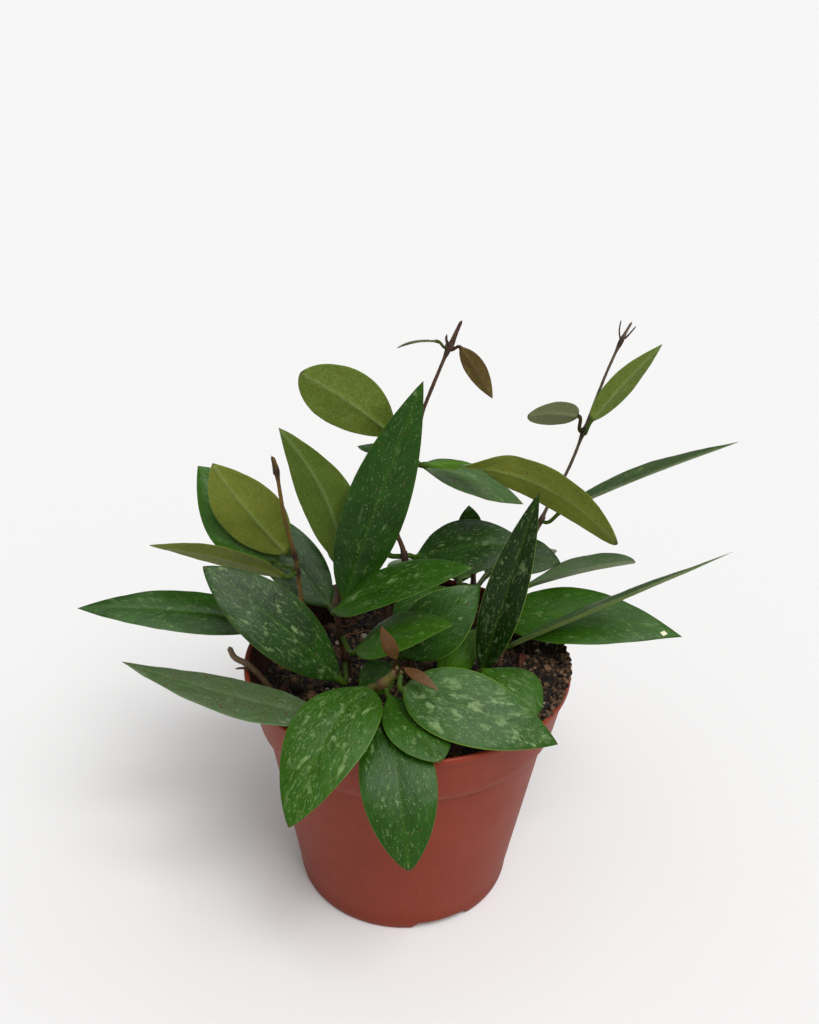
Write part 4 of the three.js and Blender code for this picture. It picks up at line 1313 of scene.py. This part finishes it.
def leaf_tree():
    """A stalk and its blade as one closed skin: a grid whose columns run along it and rows round it."""
    graph, of = geometry_tree(
        "Hoya leaf",
        ("Width", "Arch", "Sweep", "Crest power", "Widest", "Fullness", "Fold", "Twist", "Thickness",
         "Stalk radius", "Ripple", "Rib", "Seed"),
        ("Start", "Out", "Base", "Tip", "Faces", "Looks", "Marks", "Bloom"),
    )
    grid, u, round_rib = graph.grid(LEAF_STEPS, LEAF_SIDES)
    turn = round_rib * (2 * math.pi)
    on_blade = graph.number("GREATER_THAN", u, STALK_SHARE)
    s = graph.clamp(u / STALK_SHARE)
    run = graph.clamp((u - STALK_SHARE) / (1 - STALK_SHARE))
    t = 0.5 - 0.5 * graph.cosine(run * math.pi)

    base, tip, start = of["Base"], of["Tip"], of["Start"]
    length = graph.vector("LENGTH", tip - base)
    chord = graph.unit(tip - base)
    up = graph.unit(of["Faces"] - chord * graph.dot(of["Faces"], chord))
    side = graph.cross(chord, up)

    def midrib(t):
        w = t ** of["Crest power"]
        bow = 4 * w * (1 - w)
        return base + chord * (length * t) + up * (of["Arch"] * bow) + side * (of["Sweep"] * bow)

    def heading(before, after):
        return graph.unit(midrib(after) - midrib(before))

    def lift_at(along, turn):
        square = graph.unit(up - along * graph.dot(up, along))
        return square * graph.cosine(turn) + graph.cross(along, square) * graph.sine(turn)

    blade_along = heading(graph.most(t - LOOK_AHEAD, 0), graph.least(t + LOOK_AHEAD, 1))
    blade_lift = lift_at(blade_along, of["Twist"] * (1 - graph.smooth(t, 0.0, TWIST_END)))
    first_along = heading(0.0, LOOK_AHEAD)
    first_lift = lift_at(first_along, of["Twist"])

    # The stalk leaves the stem square to it and runs smoothly into the midrib.
    reach = graph.vector("LENGTH", base - start) * STALK_REACH
    leave = start + of["Out"] * reach
    enter = base - first_along * reach
    r = 1 - s
    stalk_place = (
        start * (r * r * r) + leave * (3 * s * r * r) + enter * (3 * s * s * r) + base * (s * s * s)
    )
    stalk_along = graph.unit(
        (leave - start) * (r * r) + (enter - leave) * (2 * s * r) + (base - enter) * (s * s)
    )
    lean = graph.dot(first_lift, stalk_along) / (1.001 + graph.dot(first_along, stalk_along))
    stalk_lift = graph.unit(first_lift - (first_along + stalk_along) * lean)

    centre = graph.blend(stalk_place, midrib(t), on_blade)
    along = graph.unit(graph.blend(stalk_along, blade_along, on_blade))
    lift = graph.unit(graph.blend(stalk_lift, blade_lift, on_blade))
    across = graph.cross(along, lift)

    # The outline, from the widest place to both ends, and the roundness left over from the stalk.
    p = of["Widest"]
    before = (t / p) ** (p * of["Fullness"])
    after = ((1 - t) / (1 - p)) ** ((1 - p) * of["Fullness"])
    half = of["Width"] * 0.5 * before * after
    root = 1 - graph.smooth(t, 0.0, ROOT_END)
    flare = 0.25 * graph.smooth(s, 0.6, 1.0) * (1 - on_blade) + 0.25 * root * on_blade
    stalk_radius = of["Stalk radius"] * (1 + flare)
    half_across = graph.root(half * half + (stalk_radius * root) ** 2)

    # The section: v runs from edge to edge, -1 to 1, once above and once below.
    cosine = graph.cosine(turn)
    sine = graph.sine(turn)
    v = -1 * graph.number("SIGN", cosine) * graph.absolute(cosine) ** (1 + 0.5 * (1 - root))
    v2 = v * v
    soft = graph.root(v2 + 0.003) - 0.055
    roll = half * (graph.sine(of["Fold"]) * soft - EDGE_CURL * v2)

    # Soft dents over the whole blade, and slow waves along its margins.
    seed = of["Seed"]
    blade_only = graph.smooth(t, 0.02, 0.2) * (1 - 0.5 * graph.smooth(t, 0.8, 1.0))
    dents = graph.noise(
        graph.xyz(t * length / (14 * MM) + seed * 3.7, v * half / (12 * MM), seed), 2.0,
    ) - 0.5
    waves = graph.noise(
        graph.xyz(t * length / (13 * MM), graph.number("SIGN", v) * 4, seed * 5.1), 1.0,
    ) - 0.5
    dented = dents * 1.9 * (0.35 + graph.absolute(v)) + waves * EDGE_WAVE * v2 * v2
    bend = of["Ripple"] * blade_only * dented

    blade_thickness = of["Thickness"] * graph.root(graph.clamp(half / (2 * MM))) * (1 - 0.35 * v2)
    thickness = graph.blend(blade_thickness, stalk_radius, root)
    section = graph.number("SIGN", sine) * graph.absolute(sine) ** (0.6 + 0.4 * root)
    upper = graph.smooth(sine, -0.12, 0.12)
    rib_shape = graph.bell(v * half_across / RIB_HALF) * (1 - root) * graph.clamp((1 - t) * 1.3)
    rib = of["Rib"] * rib_shape * (upper - 1 - upper * 0.45)
    raised = roll + bend + thickness * section + rib

    shut = graph.clamp(u * LEAF_STEPS)
    place = centre + across * (v * half_across * graph.cosine(of["Fold"]) * shut) + lift * (raised * shut)

    tone, spots, _ = graph.split(of["Marks"])
    on_stalk = graph.blend(1.0, 1 - graph.smooth(t, 0.0, 0.05), on_blade)
    skin = grid
    for name, value in (
        ("leaf_place", graph.xyz(t * length / MM, v * half / MM, seed)),
        ("leaf_part", graph.xyz(t, v, upper)),
        # Looks: olive is partly painted light shining through the underside.
        ("leaf_looks", of["Looks"]),
        ("leaf_marks", graph.xyz(tone, spots, on_stalk)),
        # Bloom: grey is a painted grey reflection; rim and scar are the blade's own marks.
        ("leaf_bloom", of["Bloom"]),
    ):
        skin = graph.store(skin, name, value)
    return graph.close(graph.weld(graph.place(skin, place), LEAF_WELD), of["Material"])


def leaf_material(settings, stems):
    """Waxy green with silvery flecks above, plainer and more olive below, by what each leaf stores."""
    finish = Finish("Waxy leaf")
    graph = finish.graph
    t, v, upper = finish.stored("leaf_part")
    along, across, seed = finish.stored("leaf_place")
    flecks, olive, bronze = finish.stored("leaf_looks")
    tone, spots, stalk = finish.stored("leaf_marks")
    # grey is a painted grey reflection; rim and scar are the blade's own marks.
    grey, rim, scar = finish.stored("leaf_bloom")
    width = graph.absolute(across)
    edge = graph.absolute(v)
    margin = graph.smooth(edge, 0.955, 1.0)
    inner = 1 - graph.smooth(edge, 0.72, 0.97)

    def spread(shift, span, covered, softness):
        """Patches over the blade, in another place for each leaf."""
        return finish.patches(graph.xyz(along, across, seed + shift), span, covered, softness)

    # Flecks lie along the blade and lean a little out from the midrib: blotches, streaks and specks.
    leaning = along - width * 0.5
    crowd = finish.patches(graph.xyz(along, across * 1.3, seed * 3 + 5), 9.0, 0.25 + flecks * 0.35, 0.12)
    blotch, streak, speck = (
        finish.patches(graph.xyz(leaning * long, across * narrow, seed * shift), span, covered, softness)
        for long, narrow, shift, span, covered, softness in (
            (0.75, 1.25, 9, 3.4, flecks * 0.34 - 0.09, 0.055),
            (0.3, 1.6, 7, 1.1, flecks * 0.28 - 0.13, 0.05),
            (0.8, 1.2, 4, 0.75, flecks * 0.16 - 0.02, 0.04),
        )
    )
    small = graph.most(streak * 0.75, speck * 0.8)
    patterned = graph.clamp(graph.most(blotch * (0.3 + 0.7 * crowd), small))
    faded = 0.4 + 0.6 * spread(9, 1.5, 0.6, 0.25)
    fleck = patterned * faded * graph.clamp(0.25 + inner) * graph.smooth(t, 0.02, 0.1)

    veins = graph.smooth(graph.sine((width * 2 - along) * VEIN_TURN + seed), 0.72, 1.0) * inner
    midrib = graph.bell(width / MIDRIB_HALF)
    clouds = spread(0, 11.0, 0.5, 0.3)
    mottled = spread(4, 1.6, 0.5, 0.25)
    dry = finish.patches(graph.xyz(along, across, seed * 2 + 31), 0.9, spots * 0.14 - 0.06, 0.02)

    # The upper side, then a young leaf, then the underside, which the first two cover.
    finish.colour = settings.green
    finish.cover(settings.dark, clouds * 0.5 - tone)
    finish.cover(settings.fresh, tone * 0.75 + mottled * 0.07)
    finish.cover(settings.dark * 0.8, veins * 0.22)
    finish.cover(settings.fresh, midrib * 0.12)
    finish.cover(settings.fleck, fleck * 0.62)
    above = finish.colour
    finish.colour = settings.bronze
    finish.cover(settings.bronze * 0.6, clouds * 0.6 + mottled * 0.3)
    finish.cover(settings.olive, fleck * 0.6)
    young = finish.colour
    finish.colour = settings.under
    # The olive underside: partly its own colour, partly painted light shining through the blade.
    finish.cover(settings.olive, olive)
    finish.cover(settings.under * 0.75, clouds * 0.25 + mottled * 0.2)
    finish.cover(settings.fleck, midrib * 0.25 + fleck * 0.2 + spread(6, 0.75, 0.3, 0.06) * 0.16)
    finish.cover(above, upper)
    finish.cover(young, bronze)
    # Painted reflection: a grey sheen over the blade, as much as the leaf's grey.
    finish.cover(settings.bloom, grey * (0.4 + clouds * 0.45 + mottled * 0.15))
    finish.cover(settings.margin, margin * rim * (1 - bronze))
    # A pale scar, dry brown spots, and a brown point at the end of the blade.
    from_scar = graph.absolute(t - scar) * 55 + graph.absolute(v - 0.35) * 3
    finish.cover(settings.scar, 1 - graph.smooth(from_scar, 0.9, 1.3))
    finish.cover(settings.blemish, dry + graph.smooth(t, 0.975, 1.0) * 0.8)
    finish.cover(graph.mix(settings.under * 0.9, stems.bark, clouds * 0.5 + bronze), stalk)

    grain = finish.height(graph.xyz(along, across * 1.4, seed), 0.55)
    quilt = finish.height(graph.xyz(along * 0.8, across, seed + 2), 3.4)
    height = grain * 0.75 + quilt * 1.6 + fleck * 0.12 - veins * 0.12
    roughness = graph.blend(0.5, 0.28, upper) + mottled * 0.06 + fleck * 0.06 + dry * 0.3
    return finish.finish(roughness, height, depth=0.16, specular=0.15)


class HOYA_OT_leaves(bpy.types.Operator):
    """Grows a stalk and a flecked blade for every leaf"""
    bl_idname = "hoya.leaves"
    bl_label = "Leaves"

    def execute(self, context):
        settings = context.scene.hoya_leaves
        stems = context.scene.hoya_stems
        material = leaf_material(settings, stems)
        tree = leaf_tree()
        rows = [
            (stem, number, leaf) for stem, leaves in LEAVES.items() for number, leaf in enumerate(leaves, 1)
        ]
        for seed, (stem_name, number, leaf) in enumerate(rows):
            name = f"{stem_name}_leaf_{number}"
            stem = STEMS[stem_name]
            out = outward(stem, leaf)
            depth = radius_at(stem, leaf.at) + stems.joint_swell / MM - STALK_SUNK
            small = min(1, leaf.width / GROWN_WIDTH)
            piece = grown(
                name + "_blade", tree, seed=seed, material=material, out=out,
                start=(Vector(stem.points[leaf.at]) + out * depth) * MM,
                base=Vector(leaf.base) * MM, tip=Vector(leaf.tip) * MM, faces=Vector(leaf.faces),
                width=leaf.width * MM, arch=leaf.arch * MM, sweep=leaf.sweep * MM,
                crest_power=math.log(0.5) / math.log(leaf.crest),
                widest=leaf.widest, fullness=leaf.fullness,
                fold=math.radians(leaf.fold), twist=math.radians(leaf.twist),
                thickness=min(settings.thickness, (0.15 + leaf.width / 50) * MM),
                stalk_radius=min(settings.stalk_radius, (0.25 + leaf.width / 30) * MM),
                ripple=settings.ripple * small, rib=settings.rib * small,
                # olive is partly painted light shining through the underside.
                looks=(leaf.flecks, leaf.olive, leaf.bronze), marks=(leaf.tone, leaf.spots, 0.0),
                # grey is a painted grey reflection; rim and scar are the blade's own marks.
                bloom=(leaf.grey, leaf.rim, leaf.scar),
            )
            hand_over(piece, name)
        return {"FINISHED"}


# ---------------------------------------------------------------- stage

CAMERA_PLACE = (-0.0006, -0.35557, 0.33831)
CAMERA_PITCH = math.radians(62.74)
CAMERA_ROLL = math.radians(1.33)
SENSOR_WIDTH = 36
FLOOR_HALF = 20.0
KEY_FROM = Vector((0.27, -0.45, 0.85)).normalized()
GLOSS_FROM = Vector((0.2, 0.05, 0.97))
BACKDROP = 0.93   # brightness of the plain wall of sky behind the floor
DARK_SIDE = 0.22  # brightness of the sky away from the key light, as a share of its brightest part


def add_light(name, strength, spread, towards):
    """A distant round light that lies in the direction `towards`."""
    lamp = bpy.data.objects.new(name, bpy.data.lights.new(name, "SUN"))
    bpy.context.scene.collection.objects.link(lamp)
    lamp.data.energy = strength
    lamp.data.angle = spread
    lamp.rotation_euler = towards.to_track_quat("Z", "Y").to_euler()
    return lamp


def add_camera(scene, lens):
    """The camera in front of the plant, which looks down on it."""
    camera = bpy.data.objects.new("camera", bpy.data.cameras.new("camera"))
    scene.collection.objects.link(camera)
    camera.data.lens = lens
    camera.data.sensor_width = SENSOR_WIDTH
    camera.matrix_world = (
        Matrix.Translation(CAMERA_PLACE) @ Matrix.Rotation(CAMERA_PITCH, 4, "X")
        @ Matrix.Rotation(CAMERA_ROLL, 4, "Z")
    )
    scene.camera = camera
    scene.view_settings.view_transform = "Standard"


def add_floor(scene, paint_colour):
    """A plain floor without any shine."""
    mesh = bpy.data.meshes.new("floor")
    corners = [(x * FLOOR_HALF, y * FLOOR_HALF, 0) for x, y in ((-1, -1), (1, -1), (1, 1), (-1, 1))]
    mesh.from_pydata(corners, [], [(0, 1, 2, 3)])
    floor = bpy.data.objects.new("floor", mesh)
    scene.collection.objects.link(floor)
    paint = bpy.data.materials.new("Plain floor")
    paint.use_nodes = True
    surface = paint.node_tree.nodes["Principled BSDF"]
    surface.inputs["Base Color"].default_value = (*paint_colour, 1)
    surface.inputs["Roughness"].default_value = 1.0
    surface.inputs["Specular IOR Level"].default_value = 0.0
    mesh.materials.append(paint)


def add_sky(scene, strength):
    """A soft sky, brightest where the key light is, and plain where the camera sees it."""
    world = bpy.data.worlds.new("Soft sky")
    world.use_nodes = True
    scene.world = world
    background = world.node_tree.nodes["Background"]
    background.inputs["Color"].default_value = (1, 1, 1, 1)
    graph = Graph(world.node_tree)
    direction = graph.add("ShaderNodeTexCoord", (), "Generated")
    facing = graph.smooth(graph.dot(direction, tuple(KEY_FROM)), -0.1, 1.0)
    shining = strength * (DARK_SIDE + (1 - DARK_SIDE) * facing)
    seen = graph.add("ShaderNodeLightPath", (), "Is Camera Ray")
    graph.feed(background.inputs["Strength"], graph.blend(shining, BACKDROP, seen))


class HOYA_OT_stage(bpy.types.Operator):
    """Adds the floor, the soft light and the camera"""
    bl_idname = "hoya.stage"
    bl_label = "Stage"

    def execute(self, context):
        settings = context.scene.hoya_stage
        add_camera(context.scene, settings.lens)
        add_floor(context.scene, settings.floor)
        add_sky(context.scene, settings.sky)
        add_light("key_light", settings.key, settings.key_spread, KEY_FROM)
        gloss = add_light("gloss_light", settings.gloss, settings.gloss_spread, GLOSS_FROM)
        gloss.visible_diffuse = False
        return {"FINISHED"}


# ---------------------------------------------------------------- the panel

SETTINGS = {
    "hoya_pot": HoyaPotSettings,
    "hoya_peat": HoyaPeatSettings,
    "hoya_stems": HoyaStemSettings,
    "hoya_leaves": HoyaLeafSettings,
    "hoya_stage": HoyaStageSettings,
}
PARTS = (
    (HOYA_OT_pot, "hoya_pot"),
    (HOYA_OT_peat, "hoya_peat"),
    (HOYA_OT_bits, "hoya_peat"),
    (HOYA_OT_stems, "hoya_stems"),
    (HOYA_OT_leaves, "hoya_leaves"),
    (HOYA_OT_stage, "hoya_stage"),
)


class HOYA_PT_panel(bpy.types.Panel):
    """Lists what the hoya is made of"""
    bl_idname = "HOYA_PT_panel"
    bl_label = "Potted Hoya"
    bl_space_type = "VIEW_3D"
    bl_region_type = "UI"
    bl_category = "Hoya"

    def draw(self, context):
        for operator, settings_name in PARTS:
            box = self.layout.box()
            box.operator(operator.bl_idname)
            settings = getattr(context.scene, settings_name)
            for name in settings.bl_rna.properties.keys():
                if name not in ("rna_type", "name"):
                    box.prop(settings, name)


def register():
    for name, settings in SETTINGS.items():
        bpy.utils.register_class(settings)
        setattr(bpy.types.Scene, name, PointerProperty(type=settings))
    for operator, _ in PARTS:
        bpy.utils.register_class(operator)
    bpy.utils.register_class(HOYA_PT_panel)


def unregister():
    bpy.utils.unregister_class(HOYA_PT_panel)
    for operator, _ in reversed(PARTS):
        bpy.utils.unregister_class(operator)
    for name, settings in reversed(SETTINGS.items()):
        delattr(bpy.types.Scene, name)
        bpy.utils.unregister_class(settings)


def main():
    register()
    bpy.ops.hoya.pot()
    bpy.ops.hoya.peat()
    bpy.ops.hoya.bits()
    bpy.ops.hoya.stems()
    bpy.ops.hoya.leaves()
    bpy.ops.hoya.stage()


if __name__ == "__main__":
    main()
